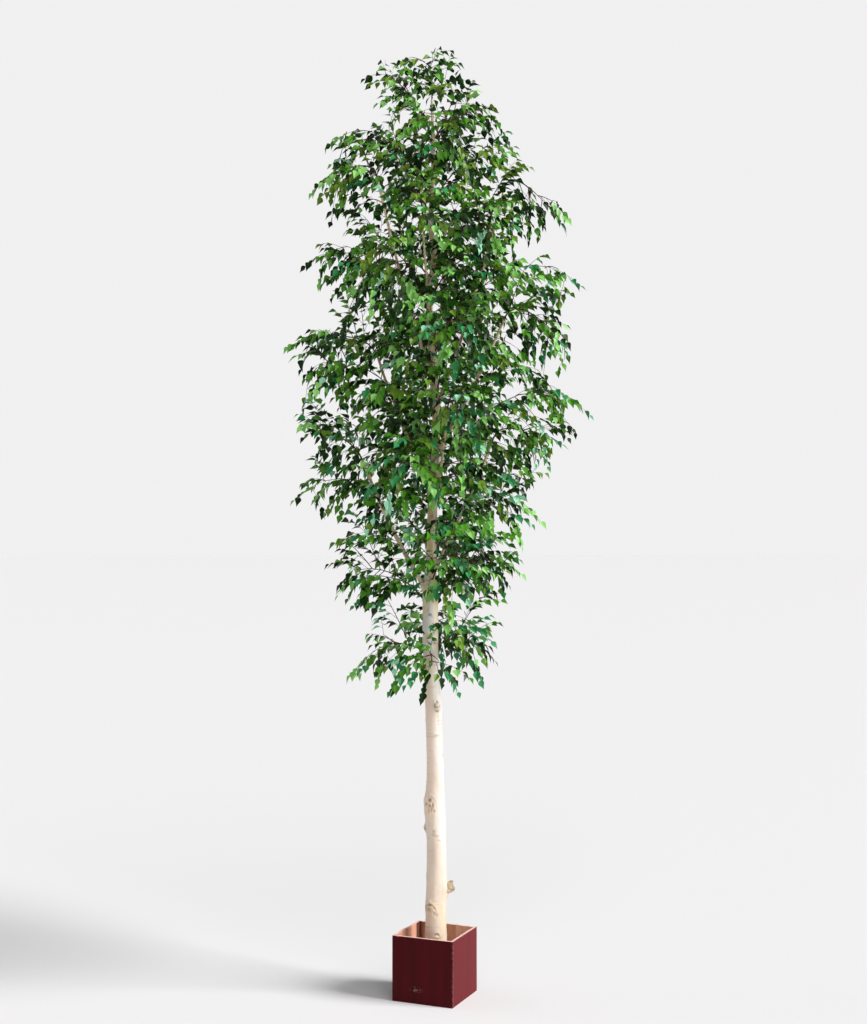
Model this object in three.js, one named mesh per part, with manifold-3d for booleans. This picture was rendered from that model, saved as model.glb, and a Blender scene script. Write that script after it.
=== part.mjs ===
// An artificial birch tree in a square wooden planter.
// A real birch log with real birch boughs carries sprays of made leaves on drooping twigs.
// Units are millimetres, +Z is up, and the origin is the centre of the planter's underside.
//
// The tree is built from its limbs outwards. The trunk is a skin over a few stations, the
// boughs are tapering limbs that rise from it, and every mass of foliage grows from one
// arching stem: side twigs leave the stem by a seeded rule, and leaves stand on the twigs.
// A mass keeps to its own space, which is all that lies nearer to its stem than to any other.

import * as THREE from "three";
import { mergeVertices } from "three/addons/utils/BufferGeometryUtils.js";
import Module from "manifold-3d";

const wasm = await Module();
wasm.setup();

// ---------------------------------------------------------------- driving dimensions

const PLANTER = 300; // the planter is a cube of this size
const BOARD = 12; // its plywood
const FOOTING_TOP = 112; // top of the cast footing that holds the log
const CLEARANCE = 0.3; // between pieces that touch

const CROWN_TURN = THREE.MathUtils.degToRad(23); // the tree's broad side against the planter's

const LOG_SIDES = 10;
const RING_STEP = 160; // between the log's rings

// The log and its leader: height, radius, and how far the centre lies to the right and back.
const LOG = [
  [BOARD + CLEARANCE, 54, 4, 0],
  [270, 52, 4, 0],
  [366, 47.5, 4, 2],
  [672, 45.5, 7, 4],
  [924, 44, 0, 4],
  [1032, 39.5, 1, 2],
  [1330, 38.5, -7, 0],
  [1506, 36, -18, -3],
  [1884, 35.5, -22, -2],
  [1975, 26.5, -20, 0],
  [2170, 23, -15, 6],
  [2450, 20, -2, 10],
  [2703, 18.5, 6, 6],
  [3052, 16.5, -20, -2],
  [3300, 15, -26, 0],
  [3440, 14, -4, 6],
  [3600, 12.5, -20, 4],
  [3900, 9.5, -8, 0],
  [4200, 6, -14, 0],
];

// Knots swell the log: height, azimuth, how far they stand out and how wide they are.
const KNOTS = [
  [418, 215, 6, 30],
  [777, 182, 12, 21],
  [856, 190, 7, 40],
  [905, 190, 7, 24],
  [1352, 300, 8, 26],
  [2960, 185, 8, 30],
];

// Sawn-off branches: height, azimuth, length past the log's skin, and radius.
const STUBS = [
  [500, 0, 32, 27],
  [1347, 290, 12, 14],
];

// Boughs: name, height where they leave the log, azimuth, how far the tip is from the tree's
// axis, the tip's height, and the radius at the log and at the tip.
const BOUGHS = [
  ["bough_left_low", 1850, 192, 345, 2490, 11.5, 6],
  ["bough_left_middle", 2340, 168, 275, 2980, 9.5, 5.5],
  ["bough_left_high", 2840, 196, 280, 3810, 9, 5],
  ["bough_right_low", 1950, 18, 290, 2600, 10, 5.5],
  ["bough_right_middle", 2520, 348, 330, 3150, 11, 6],
  ["bough_right_high", 2730, 10, 335, 3790, 8.5, 5],
  ["bough_front_low", 2120, 282, 270, 2700, 9, 5],
  ["bough_front_high", 2930, 258, 260, 3560, 8, 4.5],
  ["bough_back_low", 2060, 98, 280, 2700, 10, 5.5],
  ["bough_back_high", 2900, 76, 270, 3600, 8.5, 5],
];
const BOUGH_SIDES = 6;
const BOUGH_STEPS = 5;

// Masses of foliage, from the bottom of the crown to its top: where the stem starts, which is
// a height on the log or the name of a bough, then azimuth, reach and height of the stem's tip.
const FOLIAGE = {
  left: [
    [1570, 182, 420, 1480],
    [1800, 172, 520, 1900],
    [2060, 178, 690, 2310],
    ["bough_left_low", 190, 715, 2640],
    [2500, 193, 680, 2860],
    ["bough_left_middle", 178, 725, 3040],
    [2960, 180, 680, 3390],
    [3340, 170, 480, 3480],
    ["bough_left_high", 186, 605, 3740],
    [3720, 172, 545, 4000],
    [4010, 186, 400, 4270],
  ],
  right: [
    [1600, 352, 320, 1550],
    [1830, 8, 440, 1960],
    [2100, 350, 525, 2210],
    ["bough_right_low", 10, 640, 2510],
    [2390, 352, 750, 2700],
    ["bough_right_middle", 2, 670, 2980],
    [2980, 352, 710, 3300],
    [3350, 332, 450, 3560],
    ["bough_right_high", 8, 640, 3600],
    [3700, 356, 480, 3880],
    [4000, 4, 340, 4130],
  ],
  front: [
    [1560, 268, 260, 1400],
    [1900, 290, 450, 1980],
    ["bough_front_low", 280, 640, 2640],
    [2330, 252, 600, 2380],
    [2760, 284, 650, 3000],
    [3170, 238, 620, 3330],
    ["bough_front_high", 262, 560, 3640],
    [3830, 284, 380, 3980],
  ],
  back: [
    [1680, 88, 350, 1640],
    [2000, 70, 510, 2100],
    ["bough_back_low", 98, 640, 2620],
    [2480, 70, 650, 2640],
    [2800, 110, 650, 3050],
    [3240, 52, 630, 3400],
    ["bough_back_high", 84, 570, 3680],
    [3850, 96, 370, 4020],
  ],
  top: [["log", 150, 60, 4400]],
};

// The crown's outline, from its foot to its top: height and half its width to either side.
const OUTLINE = [
  [1340, 60, 60],
  [1420, 290, 190],
  [1480, 440, 260],
  [1570, 410, 330],
  [1700, 370, 350],
  [1850, 465, 370],
  [1960, 570, 450],
  [2200, 530, 530],
  [2310, 710, 510],
  [2450, 640, 600],
  [2560, 640, 640],
  [2690, 720, 760],
  [2850, 680, 640],
  [3040, 730, 680],
  [3180, 610, 630],
  [3300, 620, 715],
  [3400, 690, 620],
  [3520, 600, 440],
  [3600, 510, 650],
  [3740, 610, 580],
  [3900, 530, 450],
  [4010, 555, 410],
  [4120, 380, 350],
  [4190, 260, 260],
  [4280, 405, 240],
  [4350, 330, 180],
  [4430, 120, 120],
];

const STEM_SIZE = [4.6, 2.4]; // radius at the foot and at the tip
const TWIG_SIZE = [3, 1.8];
const STEM_STEPS = 4;
const TWIG_STEPS = 2;
const TWIGS = 8; // side twigs that a stem may carry
const TWIG_ANGLE = 58; // between a stem and its side twigs, in degrees
const TWIG_TURN = 137.5; // from each side twig to the next, round the stem
const TWIG_LENGTH = 330;
const TWIG_TRIES = [1, 0.8, 0.62, 0.48]; // shares of its length that a twig may fall back to

const MOST_LEAVES = 7; // in one mass

const LEAF = { length: 180, width: 130, thickness: 4 };
const LEAF_TRIES = [1, 0.8, 0.64]; // shares of its size that a leaf may fall back to
const LEAF_ROOT = 0.35; // where the leaf is widest, as a share of its length
const LEAF_SAMPLES = 8; // rows of points at which a leaf is tested
const LEAN = 1; // the most that a leaf rolls to either side, in radians
const SHORTEST_WOOD = 0.15; // of a twig's curve
const LEAF_SUNK = 8; // how far the leaf that ends a twig is sunk into it

const LEAF_SPACING = 70; // between the middles of two leaves of a mass
const SPACE_MARGIN = 4; // every twig and leaf stays this far inside its mass's space
const LIMB_MARGIN = 9; // and this far from a limb

// ---------------------------------------------------------------- helpers

const UP = new THREE.Vector3(0, 0, 1);

// Numbers from 0 to 1 that are the same on every run, by the Park and Miller rule.
function seeded(seed) {
  let state = seed;
  return () => {
    state = (state * 16807) % 2147483647;
    return state / 2147483647;
  };
}

// A unit vector over the ground at an azimuth: 0 is the tree's right, 90 its back.
function heading(azimuth) {
  const angle = THREE.MathUtils.degToRad(azimuth) + CROWN_TURN;
  return new THREE.Vector3(Math.cos(angle), Math.sin(angle), 0);
}

// A smooth curve through b and c, whose slopes come from their neighbours a and d.
function smooth(a, b, c, d, t) {
  return b + 0.5 * t * (c - a + t * (2 * a - 5 * b + 4 * c - d + t * (3 * (b - c) + d - a)));
}

function toSolid(geometry) {
  const bare = geometry.clone();
  bare.deleteAttribute("normal");
  bare.deleteAttribute("uv");
  const merged = mergeVertices(bare, 1e-3);
  const mesh = new wasm.Mesh({
    numProp: 3,
    vertProperties: new Float32Array(merged.attributes.position.array),
    triVerts: new Uint32Array(merged.index.array),
  });
  return new wasm.Manifold(mesh);
}

function toGeometry(solid) {
  const mesh = solid.getMesh();
  const geometry = new THREE.BufferGeometry();
  geometry.setAttribute("position", new THREE.BufferAttribute(mesh.vertProperties, 3));
  geometry.setIndex(new THREE.BufferAttribute(mesh.triVerts, 1));
  geometry.computeVertexNormals();
  return geometry;
}

// The largest body of a solid, without loose scraps or sealed hollows.
function mainBody(solid) {
  const bodies = solid.decompose();
  return bodies.reduce((best, body) => (body.volume() > best.volume() ? body : best));
}

// A closed skin over rings of points that all have the same number of corners.
function skin(rings) {
  const sides = rings[0].length;
  const positions = rings.flat().flatMap((point) => point.toArray());
  const faces = [];
  for (let ring = 0; ring < rings.length - 1; ring++) {
    for (let side = 0; side < sides; side++) {
      const a = ring * sides + side;
      const b = ring * sides + ((side + 1) % sides);
      faces.push(a, b, b + sides, a, b + sides, a + sides);
    }
  }
  const last = (rings.length - 1) * sides;
  for (let side = 1; side < sides - 1; side++) {
    faces.push(0, side + 1, side);
    faces.push(last, last + side, last + side + 1);
  }
  const geometry = new THREE.BufferGeometry();
  geometry.setAttribute("position", new THREE.Float32BufferAttribute(positions, 3));
  geometry.setIndex(faces);
  return geometry;
}

// A tapering limb along a curve, or the first share of it, with flat ends square to it.
function limb(curve, [footRadius, tipRadius], sides, steps, share = 1) {
  const frames = curve.computeFrenetFrames(steps);
  const rings = [];
  for (let step = 0; step <= steps; step++) {
    const centre = curve.getPointAt((step / steps) * share);
    const radius = THREE.MathUtils.lerp(footRadius, tipRadius, step / steps);
    const ring = [];
    for (let side = 0; side < sides; side++) {
      const angle = (side / sides) * 2 * Math.PI;
      const across = frames.normals[step].clone().multiplyScalar(radius * Math.cos(angle));
      const over = frames.binormals[step].clone().multiplyScalar(radius * Math.sin(angle));
      ring.push(centre.clone().add(across).add(over));
    }
    rings.push(ring);
  }
  return skin(rings);
}

// ---------------------------------------------------------------- the log

// Centre and radius of the log at a height.
function logAt(height) {
  let span = 0;
  while (span < LOG.length - 2 && height > LOG[span + 1][0]) span++;
  const near = (offset) => LOG[THREE.MathUtils.clamp(span + offset, 0, LOG.length - 1)];
  const share = (height - LOG[span][0]) / (LOG[span + 1][0] - LOG[span][0]);
  const t = THREE.MathUtils.clamp(share, 0, 1);
  const [radius, right, back] = [1, 2, 3].map((column) =>
    smooth(near(-1)[column], near(0)[column], near(1)[column], near(2)[column], t),
  );
  const centre = heading(0).multiplyScalar(right).addScaledVector(heading(90), back);
  centre.z = height;
  return { centre, radius };
}

// How far the knots push the log's skin out at a height and azimuth.
function swelling(height, azimuth, radius) {
  let total = 0;
  for (const [knotHeight, knotAzimuth, depth, width] of KNOTS) {
    const turn = THREE.MathUtils.euclideanModulo(azimuth - knotAzimuth + 180, 360) - 180;
    const around = THREE.MathUtils.degToRad(turn) * radius;
    const up = height - knotHeight;
    total += depth * Math.exp(-(up * up + around * around) / (width * width));
  }
  return total;
}

function ringHeights() {
  const [bottom, top] = [LOG[0][0], LOG[LOG.length - 1][0]];
  const steps = Math.round((top - bottom) / RING_STEP);
  const heights = [];
  for (let step = 0; step <= steps; step++) {
    heights.push(THREE.MathUtils.lerp(bottom, top, step / steps));
  }
  for (const [height, , , width] of KNOTS) {
    heights.push(height - width, height, height + width);
  }
  return heights.sort((a, b) => a - b).filter((height, i, all) => i === 0 || height - all[i - 1] > 6);
}

function stub([height, azimuth, length, radius], extra) {
  const { centre, radius: logRadius } = logAt(height);
  const outward = heading(azimuth);
  const foot = centre.clone().addScaledVector(outward, logRadius * 0.3);
  foot.z -= radius * 0.5;
  const tip = centre.clone().addScaledVector(outward, logRadius + length + extra);
  tip.z += radius * 0.4;
  const line = new THREE.LineCurve3(foot, tip);
  return toSolid(limb(line, [radius * 1.25 + extra, radius * 0.85 + extra], 8, 1));
}

// The whole log, grown by an extra thickness where it is used to cut its neighbours.
function logSolid(extra) {
  const rings = ringHeights().map((height) => {
    const { centre, radius } = logAt(height);
    const ring = [];
    for (let side = 0; side < LOG_SIDES; side++) {
      const azimuth = (side / LOG_SIDES) * 360;
      const out = radius + swelling(height, azimuth, radius) + extra;
      ring.push(centre.clone().addScaledVector(heading(azimuth), out));
    }
    return ring;
  });
  for (const point of rings[0]) point.z -= extra;
  for (const point of rings[rings.length - 1]) point.z += extra;
  return STUBS.reduce((whole, row) => whole.add(stub(row, extra)), toSolid(skin(rings)));
}

const log = logSolid(0);
const logSocket = logSolid(CLEARANCE);

// ---------------------------------------------------------------- boughs

// A bough rises steeply, leans out and straightens a little towards its tip.
function boughCurve([, from, azimuth, reach, tipHeight]) {
  const { centre } = logAt(from);
  const tip = heading(azimuth).multiplyScalar(reach).setZ(tipHeight);
  const middle = centre.clone().lerp(tip, 0.5);
  middle.addScaledVector(heading(azimuth), 0.1 * reach);
  return new THREE.QuadraticBezierCurve3(centre, middle, tip);
}

const boughs = new Map();
for (const row of BOUGHS) {
  const [name, , , , , footRadius, tipRadius] = row;
  const curve = boughCurve(row);
  const geometry = limb(curve, [footRadius, tipRadius], BOUGH_SIDES, BOUGH_STEPS);
  const solid = mainBody(toSolid(geometry).subtract(logSocket));
  boughs.set(name, { curve, solid, footRadius, tipRadius });
}

// ---------------------------------------------------------------- foliage

// A stem leaves the log or a bough's tip, arches over and droops at its end.
function stemCurve([from, azimuth, reach, tipHeight]) {
  const tip = heading(azimuth).multiplyScalar(reach).setZ(tipHeight);
  let foot;
  if (typeof from === "number") {
    foot = logAt(from).centre;
  } else if (from === "log") {
    const end = LOG[LOG.length - 1][0];
    foot = logAt(end).centre.setZ(end + CLEARANCE);
  } else {
    const { curve } = boughs.get(from);
    foot = curve.getPoint(1).addScaledVector(curve.getTangent(1), CLEARANCE);
  }
  const outward = tip.clone().sub(foot).setZ(0);
  const middle = foot.clone().addScaledVector(outward, 0.45);
  middle.z = Math.max(foot.z, tip.z) + 0.42 * outward.length();
  if (typeof from !== "number") {
    const onward = from === "log" ? new THREE.Vector3(0, 0, 1) : boughs.get(from).curve.getTangent(1);
    middle.copy(foot).addScaledVector(onward, 0.4 * tip.distanceTo(foot));
  }
  return new THREE.QuadraticBezierCurve3(foot, middle, tip);
}

// The share of a stem's or twig's curve that is wood: a leaf lies along the rest of it.
function woodShare(curve) {
  return Math.max(SHORTEST_WOOD, 1 - (LEAF.length - LEAF_SUNK) / curve.getLength());
}

// The middle of the wood at a share of its length. The wood is straight between its steps.
function woodPoint(curve, place, steps) {
  const share = woodShare(curve);
  const step = Math.min(Math.floor(place * steps), steps - 1);
  const low = curve.getPointAt((step / steps) * share);
  const high = curve.getPointAt(((step + 1) / steps) * share);
  return low.lerp(high, place * steps - step);
}

// A side twig leaves its stem at an angle, turned round it, and droops at its end.
function twigCurve(stem, place, turn, length, droop) {
  const foot = woodPoint(stem, place, STEM_STEPS);
  const along = stem.getTangentAt(place * woodShare(stem));
  const side = new THREE.Vector3().crossVectors(along, UP);
  if (side.length() < 0.1) side.copy(heading(0));
  side.normalize();
  const over = new THREE.Vector3().crossVectors(side, along);
  const around = THREE.MathUtils.degToRad(turn);
  const outward = side.multiplyScalar(Math.cos(around)).addScaledVector(over, Math.sin(around));
  const angle = THREE.MathUtils.degToRad(TWIG_ANGLE);
  const direction = along.multiplyScalar(Math.cos(angle)).addScaledVector(outward, Math.sin(angle));
  const middle = foot.clone().addScaledVector(direction, 0.5 * length);
  const tip = foot.clone().addScaledVector(direction, 0.95 * length);
  tip.z -= droop * length;
  return new THREE.QuadraticBezierCurve3(foot, middle, tip);
}

// A leaf is a thin kite of eight faces, thickest where it is widest.
function leafPoints(root, direction, lean, size) {
  const across = new THREE.Vector3().crossVectors(direction, UP);
  across.normalize().applyAxisAngle(direction, lean);
  const normal = new THREE.Vector3().crossVectors(across, direction).normalize();
  const widest = root.clone().addScaledVector(direction, size * LEAF.length * LEAF_ROOT);
  return [
    root,
    widest.clone().addScaledVector(across, (size * LEAF.width) / 2),
    root.clone().addScaledVector(direction, size * LEAF.length),
    widest.clone().addScaledVector(across, (-size * LEAF.width) / 2),
    widest.clone().addScaledVector(normal, LEAF.thickness / 2),
    widest.clone().addScaledVector(normal, -LEAF.thickness / 2),
  ];
}

function leafSolid(points) {
  const geometry = new THREE.BufferGeometry().setFromPoints(points);
  geometry.setIndex([0, 1, 4, 1, 2, 4, 2, 3, 4, 3, 0, 4, 1, 0, 5, 2, 1, 5, 3, 2, 5, 0, 3, 5]);
  return toSolid(geometry);
}

// Points spread over a leaf, for testing whether it keeps to its space.
function leafSamples([root, right, tip, left]) {
  const samples = [];
  for (let along = 1; along <= LEAF_SAMPLES; along++) {
    const share = along / LEAF_SAMPLES;
    const half = share < LEAF_ROOT ? share / LEAF_ROOT : (1 - share) / (1 - LEAF_ROOT);
    const middle = root.clone().lerp(tip, share);
    for (const across of [-1, -0.5, 0, 0.5, 1]) {
      const reach = right.clone().sub(left).multiplyScalar((across * half) / 2);
      samples.push(middle.clone().add(reach));
    }
  }
  return samples;
}

function distanceToLine(point, line) {
  let best = Infinity;
  const closest = new THREE.Vector3();
  for (let i = 0; i < line.length - 1; i++) {
    new THREE.Line3(line[i], line[i + 1]).closestPointToPoint(point, true, closest);
    best = Math.min(best, closest.distanceTo(point));
  }
  return best;
}

const rows = Object.entries(FOLIAGE).flatMap(([side, list]) =>
  list.map((row, i) => {
    const number = list.length > 1 ? `_${String(i + 1).padStart(2, "0")}` : "";
    const curve = stemCurve(row);
    return { name: `foliage_${side}${number}`, from: row[0], azimuth: row[1], curve };
  }),
);
for (const row of rows) row.line = row.curve.getPoints(12);

const limbLines = [...boughs.values()].map(({ curve, footRadius }) => ({
  line: curve.getPoints(12),
  radius: footRadius,
}));

// True where a point lies within the crown's outline. To the front and back, the outline is
// as wide as it is on average to the sides.
function inCrown(point) {
  const next = OUTLINE.findIndex(([height]) => height >= point.z);
  if (next < 1) return false;
  const [low, high] = [OUTLINE[next - 1], OUTLINE[next]];
  const share = (point.z - low[0]) / (high[0] - low[0]);
  const left = THREE.MathUtils.lerp(low[1], high[1], share);
  const right = THREE.MathUtils.lerp(low[2], high[2], share);
  const reach = Math.hypot(point.x, point.y);
  const sideways = point.dot(heading(0)) / Math.max(reach, 1);
  const mean = (left + right) / 2;
  const side = sideways > 0 ? right : left;
  return reach < mean + (side - mean) * sideways * sideways;
}

// True where a point lies in a mass's own space and clear of every limb.
function isFree(point, own) {
  const limit = distanceToLine(point, own.line) + SPACE_MARGIN;
  for (const other of rows) {
    if (other !== own && distanceToLine(point, other.line) < limit + SPACE_MARGIN) return false;
  }
  for (const { line, radius } of limbLines) {
    if (distanceToLine(point, line) < radius + LIMB_MARGIN) return false;
  }
  const { centre, radius } = logAt(Math.min(point.z, LOG[LOG.length - 1][0]));
  return centre.distanceTo(point) > radius + LIMB_MARGIN;
}

// Leaves stand on alternate sides of a twig, after one that ends it. A leaf that would leave
// the space, touch a limb or lie on another leaf is skipped.
function leavesAlong(row, curve, steps, places, placed, random) {
  const share = woodShare(curve);
  const last = Math.max(0, 1 - LEAF_SUNK / (share * curve.getLength()));
  return places.flatMap((place, i) => {
    const isLast = place === 1;
    const root = woodPoint(curve, Math.min(place, last), steps);
    const direction = isLast ? curve.getPointAt(1).sub(root) : curve.getTangentAt(place * share);
    const turn = (i % 2 ? 1 : -1) * (0.6 + 0.4 * random());
    const dip = 0.6 + 0.7 * random();
    const lean = LEAN * (2 * random() - 1);
    if (!isLast) {
      direction.applyAxisAngle(UP, turn);
      direction.z -= dip;
    }
    direction.normalize();
    const middle = root.clone().addScaledVector(direction, LEAF.length / 2);
    const isCrowded = placed.some((other) => other.distanceTo(middle) < LEAF_SPACING);
    if (isCrowded || placed.length >= MOST_LEAVES) return [];
    const points = LEAF_TRIES.filter((size) => size === 1 || !isLast)
      .map((size) => leafPoints(root, direction, lean, size))
      .find((leaf) => inCrown(leaf[2]) && leafSamples(leaf).every((p) => isFree(p, row)));
    if (!points) return [];
    placed.push(middle);
    return [leafSolid(points)];
  });
}

// One mass: a stem, its side twigs from the tip inwards and their leaves, joined in one body.
function foliageSolid(row, index) {
  const random = seeded(101 + 37 * index);
  const stem = row.curve;
  const placed = [];
  const parts = [toSolid(limb(stem, STEM_SIZE, 3, STEM_STEPS, woodShare(stem)))];
  parts.push(...leavesAlong(row, stem, STEM_STEPS, [1], placed, random));
  for (let i = 0; i < TWIGS; i++) {
    const place = 0.97 - (0.8 * (i + 0.3 * random())) / (TWIGS - 1);
    const droop = 0.1 + 0.35 * random();
    const length = TWIG_LENGTH * (0.75 + 0.25 * random());
    const turn = index * 50 + i * TWIG_TURN;
    const tries = TWIG_TRIES.map((share) => twigCurve(stem, place, turn, share * length, droop));
    const twig = tries.find((curve) =>
      curve.getPoints(8).slice(1).every((point) => inCrown(point) && isFree(point, row)),
    );
    const leaves = twig ? leavesAlong(row, twig, TWIG_STEPS, [1, 0.6, 0.3], placed, random) : [];
    if (leaves.length > 0) {
      parts.push(toSolid(limb(twig, TWIG_SIZE, 3, TWIG_STEPS, woodShare(twig))), ...leaves);
    }
  }
  parts.push(...leavesAlong(row, stem, STEM_STEPS, [0.85, 0.6, 0.4], placed, random));
  const joined = parts.reduce((whole, part) => whole.add(part));
  return mainBody(joined.subtract(logSocket));
}

// ---------------------------------------------------------------- planter and footing

function board(width, depth, height, x, y, z) {
  const geometry = new THREE.BoxGeometry(width, depth, height);
  geometry.translate(x, y, z);
  return geometry;
}

const inner = PLANTER - 2 * BOARD - 2 * CLEARANCE;
const wallCentre = (PLANTER - BOARD) / 2;
const footingHeight = FOOTING_TOP - BOARD - CLEARANCE;
const footingBlock = board(inner, inner, footingHeight, 0, 0, FOOTING_TOP - footingHeight / 2);
const footing = mainBody(toSolid(footingBlock).subtract(logSocket));

// ---------------------------------------------------------------- the assembled tree

const finish = (color, roughness) => new THREE.MeshStandardMaterial({ color, roughness, metalness: 0 });
const paint = finish(0x5e1a20, 0.6);
const rawBoard = finish(0xc08b73, 0.8);
const cast = finish(0xa8a39a, 0.95);
const bark = finish(0xe6d6b4, 0.75);
const boughBark = finish(0xb9986f, 0.8);
const green = finish(0x3f7a34, 0.5);

const tree = new THREE.Group();

function add(name, geometry, material) {
  const mesh = new THREE.Mesh(geometry, material);
  mesh.name = name;
  tree.add(mesh);
}

add("planter_floor", board(inner, inner, BOARD, 0, 0, BOARD / 2), rawBoard);
add("planter_front", board(PLANTER, BOARD, PLANTER, 0, -wallCentre, PLANTER / 2), paint);
add("planter_back", board(PLANTER, BOARD, PLANTER, 0, wallCentre, PLANTER / 2), paint);
add("planter_left", board(BOARD, inner, PLANTER, -wallCentre, 0, PLANTER / 2), paint);
add("planter_right", board(BOARD, inner, PLANTER, wallCentre, 0, PLANTER / 2), paint);
add("footing", toGeometry(footing), cast);
add("trunk", toGeometry(log), bark);
for (const [name, { solid }] of boughs) add(name, toGeometry(solid), boughBark);
rows.forEach((row, i) => add(row.name, toGeometry(foliageSolid(row, i)), green));

export default tree;
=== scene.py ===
"""Looks of an artificial birch in a square wooden planter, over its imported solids.

Everything grows from the same named sizes as the solids, by the same seeded rule: the log,
the boughs, one arching stem to each mass of foliage, and side twigs on the stem. Here each
blade of the solids is a spray of true leaves, and finer sprays fill the rest of the mass.
The growing is done in millimetres, and the meshes are in metres.
"""

import math

import bmesh
import bpy
import numpy as np
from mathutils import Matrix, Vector


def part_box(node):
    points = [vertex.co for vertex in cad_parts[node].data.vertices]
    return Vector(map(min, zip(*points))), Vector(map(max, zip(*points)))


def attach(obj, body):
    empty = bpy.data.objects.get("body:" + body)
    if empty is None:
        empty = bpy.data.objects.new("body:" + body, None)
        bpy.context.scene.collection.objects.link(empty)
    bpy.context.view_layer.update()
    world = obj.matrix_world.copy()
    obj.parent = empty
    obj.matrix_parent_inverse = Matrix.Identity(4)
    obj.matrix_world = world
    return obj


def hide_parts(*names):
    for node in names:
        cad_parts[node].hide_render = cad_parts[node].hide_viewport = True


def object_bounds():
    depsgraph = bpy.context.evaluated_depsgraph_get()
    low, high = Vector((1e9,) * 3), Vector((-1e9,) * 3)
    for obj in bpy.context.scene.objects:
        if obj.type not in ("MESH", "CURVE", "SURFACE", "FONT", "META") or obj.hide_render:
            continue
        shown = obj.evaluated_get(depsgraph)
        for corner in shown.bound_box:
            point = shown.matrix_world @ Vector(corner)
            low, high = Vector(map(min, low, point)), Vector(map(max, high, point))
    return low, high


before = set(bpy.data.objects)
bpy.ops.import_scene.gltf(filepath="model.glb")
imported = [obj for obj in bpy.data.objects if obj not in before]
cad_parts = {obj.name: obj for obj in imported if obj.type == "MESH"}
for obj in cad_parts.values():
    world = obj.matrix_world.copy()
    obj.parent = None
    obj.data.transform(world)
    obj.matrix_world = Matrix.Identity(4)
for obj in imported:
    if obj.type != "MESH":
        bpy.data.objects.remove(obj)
cad_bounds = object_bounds()

MM = 0.001

# ---------------------------------------------------------------- the tree's sizes, in mm

PLANTER = 300
BOARD = 12
CLEARANCE = 0.3
CROWN_TURN = 23

# The log and its leader: height, radius, and how far the centre lies to the right and back.
LOG = [
    (BOARD + CLEARANCE, 54, 4, 0),
    (270, 52, 4, 0),
    (366, 47.5, 4, 2),
    (672, 45.5, 7, 4),
    (924, 44, 0, 4),
    (1032, 39.5, 1, 2),
    (1330, 38.5, -7, 0),
    (1506, 36, -18, -3),
    (1884, 35.5, -22, -2),
    (1975, 26.5, -20, 0),
    (2170, 23, -15, 6),
    (2450, 20, -2, 10),
    (2703, 18.5, 6, 6),
    (3052, 16.5, -20, -2),
    (3300, 15, -26, 0),
    (3440, 14, -4, 6),
    (3600, 12.5, -20, 4),
    (3900, 9.5, -8, 0),
    (4200, 6, -14, 0),
]

# Knots swell the log: height, azimuth, how far they stand out and how wide they are.
KNOTS = [
    (418, 215, 6, 30),
    (777, 182, 12, 21),
    (856, 190, 7, 40),
    (905, 190, 7, 24),
    (1352, 300, 8, 26),
    (2960, 185, 8, 30),
]

# Sawn-off branches: height, azimuth, length past the log's skin, and radius.
STUBS = [(500, 0, 32, 27), (1347, 290, 12, 14)]

# Boughs: name, height on the log, azimuth, reach and height of the tip, two radii.
BOUGHS = [
    ("bough_left_low", 1850, 192, 345, 2490, 11.5, 6),
    ("bough_left_middle", 2340, 168, 275, 2980, 9.5, 5.5),
    ("bough_left_high", 2840, 196, 280, 3810, 9, 5),
    ("bough_right_low", 1950, 18, 290, 2600, 10, 5.5),
    ("bough_right_middle", 2520, 348, 330, 3150, 11, 6),
    ("bough_right_high", 2730, 10, 335, 3790, 8.5, 5),
    ("bough_front_low", 2120, 282, 270, 2700, 9, 5),
    ("bough_front_high", 2930, 258, 260, 3560, 8, 4.5),
    ("bough_back_low", 2060, 98, 280, 2700, 10, 5.5),
    ("bough_back_high", 2900, 76, 270, 3600, 8.5, 5),
]

# Masses of foliage: where the stem starts, then azimuth, reach and height of its tip.
FOLIAGE = {
    "left": [
        (1570, 182, 420, 1480),
        (1800, 172, 520, 1900),
        (2060, 178, 690, 2310),
        ("bough_left_low", 190, 715, 2640),
        (2500, 193, 680, 2860),
        ("bough_left_middle", 178, 725, 3040),
        (2960, 180, 680, 3390),
        (3340, 170, 480, 3480),
        ("bough_left_high", 186, 605, 3740),
        (3720, 172, 545, 4000),
        (4010, 186, 400, 4270),
    ],
    "right": [
        (1600, 352, 320, 1550),
        (1830, 8, 440, 1960),
        (2100, 350, 525, 2210),
        ("bough_right_low", 10, 640, 2510),
        (2390, 352, 750, 2700),
        ("bough_right_middle", 2, 670, 2980),
        (2980, 352, 710, 3300),
        (3350, 332, 450, 3560),
        ("bough_right_high", 8, 640, 3600),
        (3700, 356, 480, 3880),
        (4000, 4, 340, 4130),
    ],
    "front": [
        (1560, 268, 260, 1400),
        (1900, 290, 450, 1980),
        ("bough_front_low", 280, 640, 2640),
        (2330, 252, 600, 2380),
        (2760, 284, 650, 3000),
        (3170, 238, 620, 3330),
        ("bough_front_high", 262, 560, 3640),
        (3830, 284, 380, 3980),
    ],
    "back": [
        (1680, 88, 350, 1640),
        (2000, 70, 510, 2100),
        ("bough_back_low", 98, 640, 2620),
        (2480, 70, 650, 2640),
        (2800, 110, 650, 3050),
        (3240, 52, 630, 3400),
        ("bough_back_high", 84, 570, 3680),
        (3850, 96, 370, 4020),
    ],
    "top": [("log", 150, 60, 4400)],
}

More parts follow.
